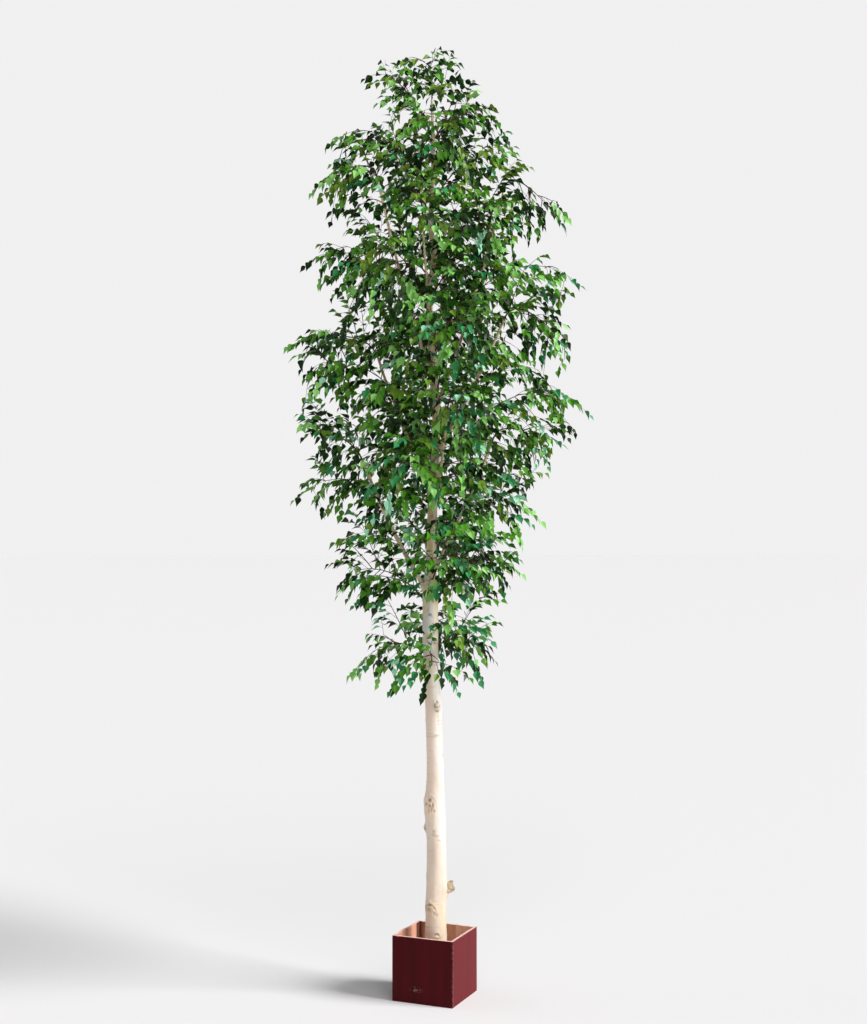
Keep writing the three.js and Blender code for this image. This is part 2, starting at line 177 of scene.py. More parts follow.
# The crown's outline, from its foot to its top: height and half its width to either side.
OUTLINE = np.array([
    (1340, 60, 60),
    (1420, 290, 190),
    (1480, 440, 260),
    (1570, 410, 330),
    (1700, 370, 350),
    (1850, 465, 370),
    (1960, 570, 450),
    (2200, 530, 530),
    (2310, 710, 510),
    (2450, 640, 600),
    (2560, 640, 640),
    (2690, 720, 760),
    (2850, 680, 640),
    (3040, 730, 680),
    (3180, 610, 630),
    (3300, 620, 715),
    (3400, 690, 620),
    (3520, 600, 440),
    (3600, 510, 650),
    (3740, 610, 580),
    (3900, 530, 450),
    (4010, 555, 410),
    (4120, 380, 350),
    (4190, 260, 260),
    (4280, 405, 240),
    (4350, 330, 180),
    (4430, 120, 120),
], dtype=float)

STEM_STEPS = 4
TWIG_STEPS = 2
TWIGS = 8
TWIG_ANGLE = 58
TWIG_TURN = 137.5
TWIG_LENGTH = 330
TWIG_TRIES = (1, 0.8, 0.62, 0.48)
MOST_BLADES = 7
BLADE_LENGTH = 180
BLADE_WIDTH = 130
BLADE_TRIES = (1, 0.8, 0.64)
BLADE_ROOT = 0.35
BLADE_SAMPLES = 8
LEAN = 1
SHORTEST_WOOD = 0.15
BLADE_SUNK = 8
BLADE_SPACING = 70
SPACE_MARGIN = 4
LIMB_MARGIN = 9

# Finer growth, which only the meshes have.
FINE_TWIGS = 8  # more side twigs on each stem
FINE_TWIG_LENGTH = 250
FINE_TWIG_WOOD = 0.72  # the share of such a twig that carries sprays
FINE_STEP = 44  # between the sprays along a stem or twig
FINE_SPACING = 50  # between the middles of two sprays of a mass
FINE_TRIES = (1, 0.74, 0.54)
# How short a spray may be, and what may be added to that, by where it grows.
SPRAY_LENGTHS = {"twig": (95, 85), "gap": (95, 75), "bough": (100, 90), "leader": (110, 110)}
SPRAY_SHORTER = 42  # than the blade in its place, as its last leaf adds to it
SPRAY_MIDDLE = 0.55  # where a spray's middle is, as a share of its length
SPRAY_INSET, SPRAY_INSET_MORE = 34, 50  # how far inside the crown's outline a spray stays
SPRAY_STRAY = 60  # how much nearer to another stem than to its own a spray may end
AT_TIP = 40  # a blade this near to a line's end is the one at its tip
THIN_FROM, THIN_TO = 1760, 1510  # heights between which the sprays of a mass thin out downwards
GAP = 80  # a twig may grow where no spray is nearer than this
GAP_TRIES = 5000
GAP_INSET = 70  # how far inside the crown's outline such a twig ends
GAP_MARGIN = 20  # and how far from a limb
OPEN_CORE = 190  # round the tree's axis, which these twigs leave open
AIRY_CORE = 0.8  # how far apart the sprays are at the tree's axis, as a share of the usual
AIRY_RIM = 0.75  # what is added to that at the crown's outline
AIRY_FROM, AIRY_TO = 2000, 2400  # heights between which the next factor goes from low to high
AIRY_LOW, AIRY_HIGH = 1.02, 0.93
LIMB_SPACING = 26  # between the sprays that stand on boughs and leader
BOUGH_SPRAY_STEP = 58
LEADER_SPRAY_STEP = 60
LEADER_FROM = 2000
SPRAY_DIP = 0.1  # how far a spray's tip hangs, as a share of its length
LEAF = 51  # a leaf's blade
LEAF_STEP = 21  # between the leaves of a spray
LEAF_ROLL = 1.8  # radians from one side to the other
LEAF_PAST = 30  # a leaf's tip lies no further than this beyond the solids
STALK = 11
WARM_FROM, WARM_TO = 1400, 4400  # heights between which the leaves grow warmer
STEM_RADIUS, TWIG_RADIUS, TWIG_TIP_RADIUS = 4.4, 2.4, 1.2
STALK_RADIUS = 0.5
LOG_SAMPLE = 5  # between the places where the log's skin is looked up

# ---------------------------------------------------------------- the source's rule

UP = np.array([0.0, 0.0, 1.0])
solids_low, solids_high = (np.array(corner)[:2] / MM for corner in cad_bounds)


def seeded(seed):
    """Numbers from 0 to 1 that are the same on every run, by the Park and Miller rule."""
    state = seed

    def draw():
        nonlocal state
        state = state * 16807 % 2147483647
        return state / 2147483647

    return draw


def heading(azimuth):
    """A unit vector over the ground: 0 is the tree's right, 90 its back."""
    angle = math.radians(azimuth + CROWN_TURN)
    return np.array([math.cos(angle), math.sin(angle), 0.0])


def unit(v):
    return v / max(float(np.linalg.norm(v)), 1e-9)


def rise(value, low, high):
    """From 0 at low to 1 at high, and level beyond them. Low may lie above high."""
    return np.clip((value - low) / (high - low), 0, 1)


def smooth(a, b, c, d, t):
    return b + 0.5 * t * (c - a + t * (2 * a - 5 * b + 4 * c - d + t * (3 * (b - c) + d - a)))


def log_at(height):
    """Centre and radius of the log at a height."""
    span = 0
    while span < len(LOG) - 2 and height > LOG[span + 1][0]:
        span += 1
    near = [LOG[min(max(span + k, 0), len(LOG) - 1)] for k in (-1, 0, 1, 2)]
    t = rise(height, LOG[span][0], LOG[span + 1][0])
    radius, right, back = (smooth(*(row[col] for row in near), t) for col in (1, 2, 3))
    centre = heading(0) * right + heading(90) * back
    centre[2] = height
    return centre, radius


class Arc:
    """A curve through three points, measured along its length."""

    def __init__(self, foot, middle, tip):
        self.ends = np.array(foot, float), np.array(middle, float), np.array(tip, float)
        self.ts = np.linspace(0, 1, 201)
        steps = np.diff(self.point(self.ts), axis=0)
        self.lengths = np.concatenate([[0], np.cumsum(np.linalg.norm(steps, axis=1))])
        self.length = float(self.lengths[-1])

    def point(self, t):
        a, b, c = self.ends
        t = np.asarray(t, float)[..., None]
        return (1 - t) ** 2 * a + 2 * (1 - t) * t * b + t * t * c

    def at(self, share):
        return self.point(np.interp(np.asarray(share) * self.length, self.lengths, self.ts))

    def tangent(self, share):
        t = float(np.interp(share * self.length, self.lengths, self.ts))
        return unit(self.point(min(t + 1e-4, 1)) - self.point(max(t - 1e-4, 0)))


def bough_arc(row):
    _, start, azimuth, reach, tip_height, _, _ = row
    foot, _ = log_at(start)
    tip = heading(azimuth) * reach + UP * tip_height
    middle = (foot + tip) / 2 + heading(azimuth) * 0.1 * reach
    return Arc(foot, middle, tip)


boughs = {row[0]: (bough_arc(row), row[5], row[6]) for row in BOUGHS}


def stem_arc(row):
    start, azimuth, reach, tip_height = row
    tip = heading(azimuth) * reach + UP * tip_height
    if start == "log":
        foot, _ = log_at(LOG[-1][0])
        foot[2] += CLEARANCE
        onward = UP
    elif isinstance(start, str):
        arc = boughs[start][0]
        onward = unit(arc.ends[2] - arc.ends[1])
        foot = arc.ends[2] + onward * CLEARANCE
    else:
        foot, _ = log_at(start)
        onward = None
    if onward is not None:
        return Arc(foot, foot + onward * 0.4 * np.linalg.norm(tip - foot), tip)
    outward = (tip - foot) * (1, 1, 0)
    middle = foot + outward * 0.45
    middle[2] = max(foot[2], tip[2]) + 0.42 * np.linalg.norm(outward)
    return Arc(foot, middle, tip)


def wood_share(arc):
    return max(SHORTEST_WOOD, 1 - (BLADE_LENGTH - BLADE_SUNK) / arc.length)


def wood_point(arc, place, steps):
    share = wood_share(arc)
    step = min(int(place * steps), steps - 1)
    low, high = arc.at(step / steps * share), arc.at((step + 1) / steps * share)
    return low + (high - low) * (place * steps - step)


def turned(v, axis, angle):
    """A vector turned round an axis."""
    return (
        v * math.cos(angle)
        + np.cross(axis, v) * math.sin(angle)
        + axis * np.dot(axis, v) * (1 - math.cos(angle))
    )


def twig_arc(foot, along, turn, length, droop):
    """A side twig leaves its stem at an angle, turned round it, and droops at its end."""
    side = np.cross(along, UP)
    if np.linalg.norm(side) < 0.1:
        side = heading(0)
    side = unit(side)
    over = np.cross(side, along)
    around = math.radians(turn)
    outward = side * math.cos(around) + over * math.sin(around)
    angle = math.radians(TWIG_ANGLE)
    direction = along * math.cos(angle) + outward * math.sin(angle)
    tip = foot + direction * 0.95 * length - UP * droop * length
    return Arc(foot, foot + direction * 0.5 * length, tip)


stems = [stem_arc(row) for rows in FOLIAGE.values() for row in rows]

line_steps = np.linspace(0, 1, 13)
stem_lines = np.array([arc.point(line_steps) for arc in stems])
bough_lines = np.array([arc.point(line_steps) for arc, _, _ in boughs.values()])
bough_radii = np.array([foot_radius for _, foot_radius, _ in boughs.values()])
log_rows = [log_at(height) for height in np.arange(LOG[0][0], LOG[-1][0] + LOG_SAMPLE, LOG_SAMPLE)]
log_centres = np.array([centre for centre, _ in log_rows])
log_radii = np.array([radius for _, radius in log_rows])


def distances(points, lines):
    """From each point to each line of straight steps."""
    starts, spans = lines[:, :-1], np.diff(lines, axis=1)
    offsets = points[:, None, None] - starts[None]
    shares = np.sum(offsets * spans, axis=-1) / np.sum(spans * spans, axis=-1)
    gaps = offsets - np.clip(shares, 0, 1)[..., None] * spans
    return np.sqrt(np.min(np.sum(gaps * gaps, axis=-1), axis=-1))


def crown_reach(points):
    """How far out each point is, and how far the crown's outline is on that side."""
    left = np.interp(points[:, 2], OUTLINE[:, 0], OUTLINE[:, 1])
    right = np.interp(points[:, 2], OUTLINE[:, 0], OUTLINE[:, 2])
    out = np.hypot(points[:, 0], points[:, 1])
    sideways = points @ heading(0) / np.maximum(out, 1)
    mean = (left + right) / 2
    return out, mean + (np.where(sideways > 0, right, left) - mean) * sideways**2


def in_crown(points, slack=0):
    """True where every point lies within the crown's outline."""
    z = points[:, 2]
    if np.any(z <= OUTLINE[0, 0]) or np.any(z > OUTLINE[-1, 0]):
        return False
    out, widest = crown_reach(points)
    return bool(np.all(out < widest + slack))


def airy(point):
    """How far apart the sprays are: the crown thins out towards its outline and its foot."""
    out, widest = crown_reach(point[None])
    factor = AIRY_LOW + (AIRY_HIGH - AIRY_LOW) * rise(point[2], AIRY_FROM, AIRY_TO)
    return (AIRY_CORE + AIRY_RIM * float(out[0] / widest[0]) ** 3) * factor


def clear_of_limbs(points, margin):
    if np.any(distances(points, bough_lines) < bough_radii + margin):
        return False
    rows = np.clip((points[:, 2] - LOG[0][0]) / LOG_SAMPLE, 0, len(log_rows) - 1).astype(int)
    away = np.linalg.norm(log_centres[rows] - points, axis=1)
    return bool(np.all(away > log_radii[rows] + margin))


def is_free(points, own):
    """True where the points lie in a mass's own space and clear of every limb."""
    gaps = distances(points, stem_lines)
    others = np.delete(gaps, own, axis=1).min(axis=1)
    if np.any(others < gaps[:, own] + 2 * SPACE_MARGIN):
        return False
    return clear_of_limbs(points, LIMB_MARGIN)


def blade_samples(root, direction, lean, size):
    across = turned(unit(np.cross(direction, UP)), direction, lean)
    samples = []
    for step in range(1, BLADE_SAMPLES + 1):
        share = step / BLADE_SAMPLES
        half = share / BLADE_ROOT if share < BLADE_ROOT else (1 - share) / (1 - BLADE_ROOT)
        middle = root + direction * share * size * BLADE_LENGTH
        for aside in (-1, -0.5, 0, 0.5, 1):
            samples.append(middle + across * aside * half * size * BLADE_WIDTH / 2)
    return np.array(samples)


def blades_along(own, arc, steps, places, placed, draw):
    """The solids' blades on a stem or twig: root, direction, lean and size of each."""
    share = wood_share(arc)
    last = max(0, 1 - BLADE_SUNK / (share * arc.length))
    found = []
    for i, place in enumerate(places):
        root = wood_point(arc, min(place, last), steps)
        ends = place == 1
        direction = arc.at(1) - root if ends else arc.tangent(place * share)
        turn = (1 if i % 2 else -1) * (0.6 + 0.4 * draw())
        dip = 0.6 + 0.7 * draw()
        lean = LEAN * (2 * draw() - 1)
        if not ends:
            direction = turned(direction, UP, turn) - UP * dip
        direction = unit(direction)
        middle = root + direction * BLADE_LENGTH / 2
        crowded = any(np.linalg.norm(middle - other) < BLADE_SPACING for other in placed)
        if crowded or len(placed) >= MOST_BLADES:
            continue
        for size in BLADE_TRIES[:1] if ends else BLADE_TRIES:
            tip = root + direction * size * BLADE_LENGTH
            if in_crown(tip[None]) and is_free(blade_samples(root, direction, lean, size), own):
                placed.append(middle)
                found.append((root, direction, lean, size))
                break
    return found


def grow_solid(own, arc):
    """The twigs and blades that the mass has in the solids."""
    draw = seeded(101 + 37 * own)
    placed = []
    twigs = []
    blades = blades_along(own, arc, STEM_STEPS, [1], placed, draw)
    for i in range(TWIGS):
        place = 0.97 - 0.8 * (i + 0.3 * draw()) / (TWIGS - 1)
        droop = 0.1 + 0.35 * draw()
        length = TWIG_LENGTH * (0.75 + 0.25 * draw())
        turn = own * 50 + i * TWIG_TURN
        foot = wood_point(arc, place, STEM_STEPS)
        along = arc.tangent(place * wood_share(arc))
        for share in TWIG_TRIES:
            twig = twig_arc(foot, along, turn, share * length, droop)
            points = twig.point(np.linspace(0, 1, 9)[1:])
            if in_crown(points) and is_free(points, own):
                blades += blades_along(own, twig, TWIG_STEPS, [1, 0.6, 0.3], placed, draw)
                twigs.append(twig)
                break
    blades += blades_along(own, arc, STEM_STEPS, [0.85, 0.6, 0.4], placed, draw)
    return twigs, blades


# ---------------------------------------------------------------- finer growth

# Leaf colours, with the weight of each at the crown's foot and what is added up to its top.
LEAF_COLOURS = {
    "deep": ((17, 53, 4), 0.3, 0.14),
    "middle": ((70, 130, 28), 0.33, -0.08),
    # Bright leaves: partly paler leaves, partly a painted highlight where light catches them.
    "bright_and_painted_highlight": ((128, 188, 96), 0.15, 0),
    "blue": ((50, 134, 78), 0.17, -0.16),
    "olive": ((98, 134, 38), 0.01, 0.22),
    # Mint leaves: a painted reflection of the pale room on glossy leaves.
    "mint_painted_reflection": ((158, 220, 182), 0.055, -0.05),
}

twig_runs = []  # arc, the share of it that is wood, and the radius at its foot
spray_runs = []
leaf_rows = []  # foot, tip direction, across, size, place of the tint in LEAF_COLOURS
stalk_rows = []  # from, to


def tint_at(height, draw):
    """One leaf colour for a whole spray: warmer high in the crown, cooler below."""
    up = rise(height, WARM_FROM, WARM_TO)
    weights = [weight + gain * up for _, weight, gain in LEAF_COLOURS.values()]
    pick = draw() * sum(weights)
    for tint, weight in enumerate(weights):
        pick -= weight
        if pick <= 0:
            return tint
    return 0


def add_leaf(root, outward, size, tint, draw):
    """A leaf on a short stalk, its blade turned down and away from the tree, and rolled a little."""
    aim = unit(outward - UP * (0.1 + 0.35 * draw()))
    foot = root + aim * STALK * (0.7 + 0.6 * draw())
    away = unit(root * (1, 1, 0))
    blade = unit(aim + away * (0.2 + 0.5 * draw()) - UP * (0.05 + 0.6 * draw()))
    across = np.cross(blade, UP)
    if np.linalg.norm(across) < 0.15:
        across = heading(360 * draw())
    across = unit(across - blade * np.dot(across, blade))
    across = turned(across, blade, LEAF_ROLL * (draw() - 0.5))
    tip = (foot + blade * size)[:2]
    if np.all(tip > solids_low - LEAF_PAST) and np.all(tip < solids_high + LEAF_PAST):
        stalk_rows.append((root, foot))
        leaf_rows.append((foot, blade, across, size, tint))


def add_spray(root, direction, length, draw):
    """A drooping twiglet with a leaf on either side in turn and one at its end."""
    tip = root + direction * length - UP * SPRAY_DIP * length
    middle = root + direction * SPRAY_MIDDLE * length + UP * 0.08 * length
    arc = Arc(root, middle, tip)
    spray_runs.append(arc)
    tint = tint_at(root[2], draw)
    count = max(2, round(length * 0.86 / LEAF_STEP))
    hand = 1 if draw() > 0.5 else -1
    for k in range(count):
        share = 1 - (k + 0.15 * draw()) * LEAF_STEP / length
        if share < 0.08:
            break
        along = arc.tangent(min(share, 1))
        if k == 0:
            outward = along
            share = 1
        else:
            outward = turned(along, UP, hand * (-1) ** k * (0.7 + 0.5 * draw()))
        size = LEAF * (0.74 + 0.34 * draw()) * (0.86 if k == 0 else 1)
        own_tint = tint if draw() < 0.82 else tint_at(root[2], draw)
        add_leaf(arc.at(share), outward, size, own_tint, draw)


def spray_length(kind, draw):
    least, more = SPRAY_LENGTHS[kind]
    return least + more * draw()


def try_spray(own, root, direction, length, placed, spacing, draw):
    """A spray where there is room. Its last leaf still ends inside the crown's outline."""
    inset = -SPRAY_INSET - SPRAY_INSET_MORE * draw() ** 2
    for share in FINE_TRIES:
        reach = share * length
        ends = root + direction * np.array([[0.45], [0.8], [1.0]]) * reach
        ends[1:, 2] -= SPRAY_DIP * reach
        middle = root + direction * reach * SPRAY_MIDDLE
        if not in_crown(ends, inset) or not clear_of_limbs(ends, LIMB_MARGIN):
            continue
        if own is not None:
            gaps = distances(ends[-1:], stem_lines)[0]
            if gaps[own] > np.delete(gaps, own).min() + SPRAY_STRAY:
                continue
        room = spacing * airy(middle)
        if any(np.linalg.norm(middle - other) < room for other in placed):
            return False
        placed.append(middle)
        add_spray(root, direction, reach, draw)
        return True
    return False


def spray_place(step, steps, draw):
    """Where a spray stands on its twig, counted back from the tip."""
    return 1 - (step + 0.3 * draw() * min(step, 1)) / (steps + 0.5)


def spray_direction(along, step, dip, draw):
    """The spray at the tip runs on, and the others leave to either side in turn."""
    turn = (-1) ** step * (0.45 + 0.75 * draw()) if step else 0.2 * draw()
    return turned(along, UP, turn) - UP * (dip + 0.5 * draw())


def grow_fine(own, arc, twigs, blades):
    """A spray in place of each blade, then more twigs, and sprays along them all."""
    draw = seeded(90001 + 613 * own)
    placed = []
    for root, direction, _, size in blades:
        placed.append(root + direction * size * BLADE_LENGTH * SPRAY_MIDDLE)
        add_spray(root, direction, size * BLADE_LENGTH - SPRAY_SHORTER, draw)
    more = []
    for i in range(FINE_TWIGS):
        place = 0.92 - 0.8 * (i + 0.5 * draw()) / FINE_TWIGS
        foot = arc.at(place)
        turn = own * 50 + 70 + i * TWIG_TURN + 30 * draw()
        length = FINE_TWIG_LENGTH * (0.7 + 0.3 * draw())
        droop = 0.05 + 0.35 * draw()
        for share in TWIG_TRIES:
            twig = twig_arc(foot, arc.tangent(place), turn, share * length, droop)
            points = twig.point(np.linspace(0, 1, 7)[1:])
            if in_crown(points) and is_free(points, own):
                more.append(twig)
                break
    thin = 1 + 0.5 * rise(arc.at(0.6)[2], THIN_FROM, THIN_TO)
    lines = [(line, wood_share(line)) for line in [arc] + twigs]
    lines += [(line, FINE_TWIG_WOOD) for line in more]
    for line, end in lines:
        ends_in_blade = any(np.linalg.norm(root - line.at(end)) < AT_TIP for root, *_ in blades)
        furthest = 0.98 * end if ends_in_blade else 0
        steps = max(2, int(line.length * end / FINE_STEP / thin))
        for step in range(steps + 1):
            place = end * spray_place(step, steps, draw)
            if place < (0.14 if line is arc else 0.1) * end:
                continue
            along = line.tangent(place)
            direction = spray_direction(along, step, 0.15, draw)
            if draw() < 0.22:
                direction = along + UP * 0.3 + heading(360 * draw()) * 0.6
            length = spray_length("twig", draw)
            spacing = FINE_SPACING * thin
            if try_spray(own, line.at(place), unit(direction), length, placed, spacing, draw):
                furthest = max(furthest, place)
        if furthest > 0 or line is arc:
            twig_runs.append((line, furthest or end, STEM_RADIUS if line is arc else TWIG_RADIUS))


for stem_index, stem in enumerate(stems):
    grow_fine(stem_index, stem, *grow_solid(stem_index, stem))


def grow_into_gaps():
    """Side twigs of the stems and boughs that reach for the open places between the sprays."""
    draw = seeded(777)
    middles = [arc.point(0.6) for arc in spray_runs]
    feet = [(arc, wood_share(arc)) for arc in stems] + [(arc, 1) for arc, _, _ in boughs.values()]
    for _ in range(GAP_TRIES):
        arc, end = feet[int(draw() * len(feet))]
        place = end * (0.12 + 0.88 * draw())
        twig_length = 130 + 230 * draw()
        twig = twig_arc(arc.at(place), arc.tangent(place), 360 * draw(), twig_length, 0.4 * draw())
        points = twig.point(np.array([0.35, 0.55, 0.75, 1.0]))
        if not in_crown(points, -GAP_INSET) or not clear_of_limbs(points, GAP_MARGIN):
            continue
        if math.hypot(points[-1][0], points[-1][1]) < OPEN_CORE:
            continue
        near = np.linalg.norm(np.array(middles)[None] - points[1:, None], axis=2).min(axis=1)
        if near.min() < GAP * airy(points[-1]):
            continue
        own = []
        furthest = 0
        steps = max(3, int(twig_length / FINE_STEP))
        for step in range(steps):
            share = spray_place(step, steps, draw)
            direction = unit(spray_direction(twig.tangent(share), step, 0.1, draw))
            length = spray_length("gap", draw)
            if try_spray(None, twig.at(share), direction, length, own, FINE_SPACING, draw):
                furthest = max(furthest, share)
        if own:
            middles += own
            twig_runs.append((twig, furthest, TWIG_RADIUS))


def grow_on_limbs():
    """Short sprays that stand on the boughs and the leader, and hide most of their wood."""
    draw = seeded(4242)
    placed = []
    for arc, _, tip_radius in boughs.values():
        steps = int(arc.length / BOUGH_SPRAY_STEP)
        for k in range(steps):
            place = 0.2 + 0.8 * (k + 0.6 * draw()) / steps
            along = arc.tangent(place)
            outward = unit(np.cross(along, heading(k * TWIG_TURN)) + 0.01 * UP)
            direction = unit(along * 0.5 + outward + UP * (0.3 * draw() - 0.15))
            root = arc.at(place) + outward * tip_radius * 0.5
            length = spray_length("bough", draw)
            try_spray(None, root, direction, length, placed, LIMB_SPACING, draw)
    steps = int((LOG[-1][0] - LEADER_FROM) / LEADER_SPRAY_STEP)
    for k in range(steps):
        height = LEADER_FROM + (k + draw()) * LEADER_SPRAY_STEP
        centre, radius = log_at(height)
        aim = heading(k * TWIG_TURN)
        direction = unit(aim + UP * (0.9 * draw() - 0.2))
        root = centre + aim * radius * 0.8
        try_spray(None, root, direction, spray_length("leader", draw), placed, LIMB_SPACING, draw)


grow_on_limbs()
grow_into_gaps()

# ---------------------------------------------------------------- meshes


def add_object(name, data):
    added = bpy.data.objects.new(name, data)
    bpy.context.scene.collection.objects.link(added)
    return added


def place_piece(name, mesh, materials, replaced):
    """A piece that rides on the plant, in place of some solids."""
    piece = add_object(name, mesh)
    for material in materials:
        mesh.materials.append(material)
    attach(piece, "root")
    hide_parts(*replaced)
    return piece


def make_piece(name, verts, tris, material, replaced, slot):
    """A smooth mesh of triangles, given in millimetres."""
    mesh = bpy.data.meshes.new(name)
    mesh.vertices.add(len(verts))
    mesh.vertices.foreach_set("co", (np.asarray(verts) * MM).astype(np.float32).ravel())
    mesh.loops.add(3 * len(tris))
    mesh.loops.foreach_set("vertex_index", np.asarray(tris, np.int32).ravel())
    mesh.polygons.add(len(tris))
    mesh.polygons.foreach_set("loop_start", np.arange(0, 3 * len(tris), 3, dtype=np.int32))
    mesh.polygons.foreach_set("use_smooth", np.full(len(tris), True))
    mesh.update(calc_edges=True)
    return place_piece(name, mesh, [material], replaced)


def ring_tris(rings, sides):
    """Triangles between rings of points, each ring following on the last."""
    a = np.arange(sides)
    b = (a + 1) % sides
    tris = []
    for low in np.arange(rings - 1) * sides:
        high = low + sides
        tris += [np.stack([low + a, low + b, high + b], 1), np.stack([low + a, high + b, high + a], 1)]
    return np.concatenate(tris)


def tubes(centres, radii, sides):
    """Closed tubes along rows of centres: (N, K, 3) centres and (N, K) radii."""
    centres = np.asarray(centres, float)
    count, rings = centres.shape[:2]
    tangents = np.gradient(centres, axis=1)
    tangents /= np.linalg.norm(tangents, axis=2, keepdims=True)
    flat = np.argmin(np.abs(tangents.mean(axis=1)), axis=1)
    ref = np.eye(3)[flat][:, None]
    across = np.cross(tangents, ref)
    across /= np.linalg.norm(across, axis=2, keepdims=True)
    over = np.cross(tangents, across)
    angles = np.linspace(0, 2 * np.pi, sides, endpoint=False)
    ring = (
        across[:, :, None] * np.cos(angles)[None, None, :, None]
        + over[:, :, None] * np.sin(angles)[None, None, :, None]
    )
    verts = centres[:, :, None] + ring * np.asarray(radii)[:, :, None, None]
    top = (rings - 1) * sides
    ends = []
    for k in range(1, sides - 1):
        ends += [(0, k + 1, k), (top, top + k, top + k + 1)]
    one = np.concatenate([ring_tris(rings, sides), ends])
    tris = one[None] + (np.arange(count) * rings * sides)[:, None, None]
    return verts.reshape(-1, 3), tris.reshape(-1, 3)


def joined(parts):
    verts, tris, offset = [], [], 0
    for part_verts, part_tris in parts:
        verts.append(part_verts)
        tris.append(part_tris + offset)
        offset += len(part_verts)
    return np.concatenate(verts), np.concatenate(tris)


# A leaf's blade: share of its length, and half its width there as a share of the length.
BLADE = np.array([
    (0, 0),
    (0.06, 0.14),
    (0.16, 0.27),
    (0.29, 0.35),
    (0.42, 0.33),
    (0.57, 0.23),
    (0.73, 0.12),
    (0.87, 0.045),
    (1, 0),
])


def leaf_mesh(rows, draw_seed):
    """Leaves folded along the midrib and curled towards the tip, as two smooth halves."""
    rng = np.random.default_rng(draw_seed)
    foot = np.array([row[0] for row in rows])
    along = np.array([row[1] for row in rows])
    across = np.array([row[2] for row in rows])
    size = np.array([row[3] for row in rows])
    normal = np.cross(across, along)
    count = len(rows)
    fold = rng.uniform(0.15, 0.65, count)
    curl = rng.uniform(0.02, 0.4, count)
    wide = rng.uniform(0.85, 1.08, count)
    twist = rng.uniform(-0.25, 0.25, count)
    share, half = BLADE[:, 0], BLADE[:, 1]
    last = len(BLADE) - 1
    parts = []
    for hand in (1, -1):
        s = np.concatenate([share, share[1:-1]])
        w = np.concatenate([np.zeros(len(share)), hand * half[1:-1]])
        out = w[None] * wide[:, None]
        lift = np.abs(out) * fold[:, None] - curl[:, None] * s[None] ** 2 + twist[:, None] * s * out
        verts = foot[:, None] + size[:, None, None] * (
            along[:, None] * s[None, :, None]
            + across[:, None] * out[..., None]
            + normal[:, None] * lift[..., None]
        )
        edge = last + 1
        tris = [(0, edge, 1)]
        for k in range(1, last - 1):
            tris += [(k, edge + k - 1, edge + k), (k, edge + k, k + 1)]
        tris.append((last - 1, edge + last - 2, last))
        tris = np.array(tris)
        if hand < 0:
            tris = tris[:, ::-1]
        steps = (np.arange(count) * len(s))[:, None, None]
        parts.append((verts.reshape(-1, 3), (tris[None] + steps).reshape(-1, 3)))
    return joined(parts)


# ---------------------------------------------------------------- materials


def linear(rgb):
    values = [c / 255 for c in rgb]
    return [c / 12.92 if c <= 0.04045 else ((c + 0.055) / 1.055) ** 2.4 for c in values] + [1]


def new_material(name, roughness, specular=0.5):
    material = bpy.data.materials.new(name)
    material.use_nodes = True
    shader = material.node_tree.nodes["Principled BSDF"]
    shader.inputs["Roughness"].default_value = roughness
    shader.inputs["Specular IOR Level"].default_value = specular
    return material, material.node_tree, shader


def add_node(tree, kind, inputs):
    """A node whose inputs are linked, or set to values of their own."""
    node = tree.nodes.new(kind)
    for key, value in inputs.items():
        if isinstance(value, bpy.types.NodeSocket):
            tree.links.new(value, node.inputs[key])
        else:
            node.inputs[key].default_value = value
    return node


def ramp(tree, source, stops):
    node = add_node(tree, "ShaderNodeValToRGB", {"Fac": source})
    while len(node.color_ramp.elements) < len(stops):
        node.color_ramp.elements.new(0.5)
    for element, (place, colour) in zip(node.color_ramp.elements, stops):
        element.position = place
        element.color = colour if len(colour) == 4 else linear(colour)
    return node.outputs["Color"]


def noise(tree, place, scale, detail=3, stretch=(1, 1, 1), roughness=0.55):
    mapping = add_node(tree, "ShaderNodeMapping", {"Vector": place, "Scale": stretch})
    inputs = {"Vector": mapping.outputs["Vector"], "Scale": scale, "Detail": detail, "Roughness": roughness}
    return add_node(tree, "ShaderNodeTexNoise", inputs).outputs["Fac"]


def mix(tree, share, first, second):
    node = tree.nodes.new("ShaderNodeMix")
    node.data_type = "RGBA"
    for value, socket in ((share, node.inputs[0]), (first, node.inputs[6]), (second, node.inputs[7])):
        if isinstance(value, bpy.types.NodeSocket):
            tree.links.new(value, socket)
        else:
            socket.default_value = linear(value)
    return node.outputs[2]


def object_place(tree):
    return tree.nodes.new("ShaderNodeTexCoord").outputs["Object"]


def attribute(tree, name):
    node = tree.nodes.new("ShaderNodeAttribute")
    node.attribute_name = name
    return node.outputs["Fac"]


def finish(tree, shader, colour, height, strength, distance):
    """Puts a colour and the bumps of a height on the shader."""
    inputs = {"Height": height, "Strength": strength, "Distance": distance}
    bumps = add_node(tree, "ShaderNodeBump", inputs)
    tree.links.new(colour, shader.inputs["Base Color"])
    tree.links.new(bumps.outputs["Normal"], shader.inputs["Normal"])


def leaf_material(tint):
    material, _, shader = new_material(f"leaf_{tint}", 0.36, 0.2)
    shader.inputs["Base Color"].default_value = linear(LEAF_COLOURS[tint][0])
    return material


def wood_material(name, dark, light, scale):
    material, tree, shader = new_material(name, 0.75, 0.3)
    place = object_place(tree)
    streaks = ramp(tree, noise(tree, place, scale, 4), [(0.3, dark), (0.7, light)])
    finish(tree, shader, streaks, noise(tree, place, scale * 4, 3), 0.4, 0.001)
    return material


def scaled(tree, value, factor):
    """A mask times a number or another mask."""
    node = add_node(tree, "ShaderNodeMath", {0: value, 1: factor})
    node.operation = "MULTIPLY"
    return node.outputs[0]


def mask(tree, source, low, high):
    """0 below low and 1 above high."""
    return ramp(tree, source, [(low, (0, 0, 0, 1)), (high, (1, 1, 1, 1))])


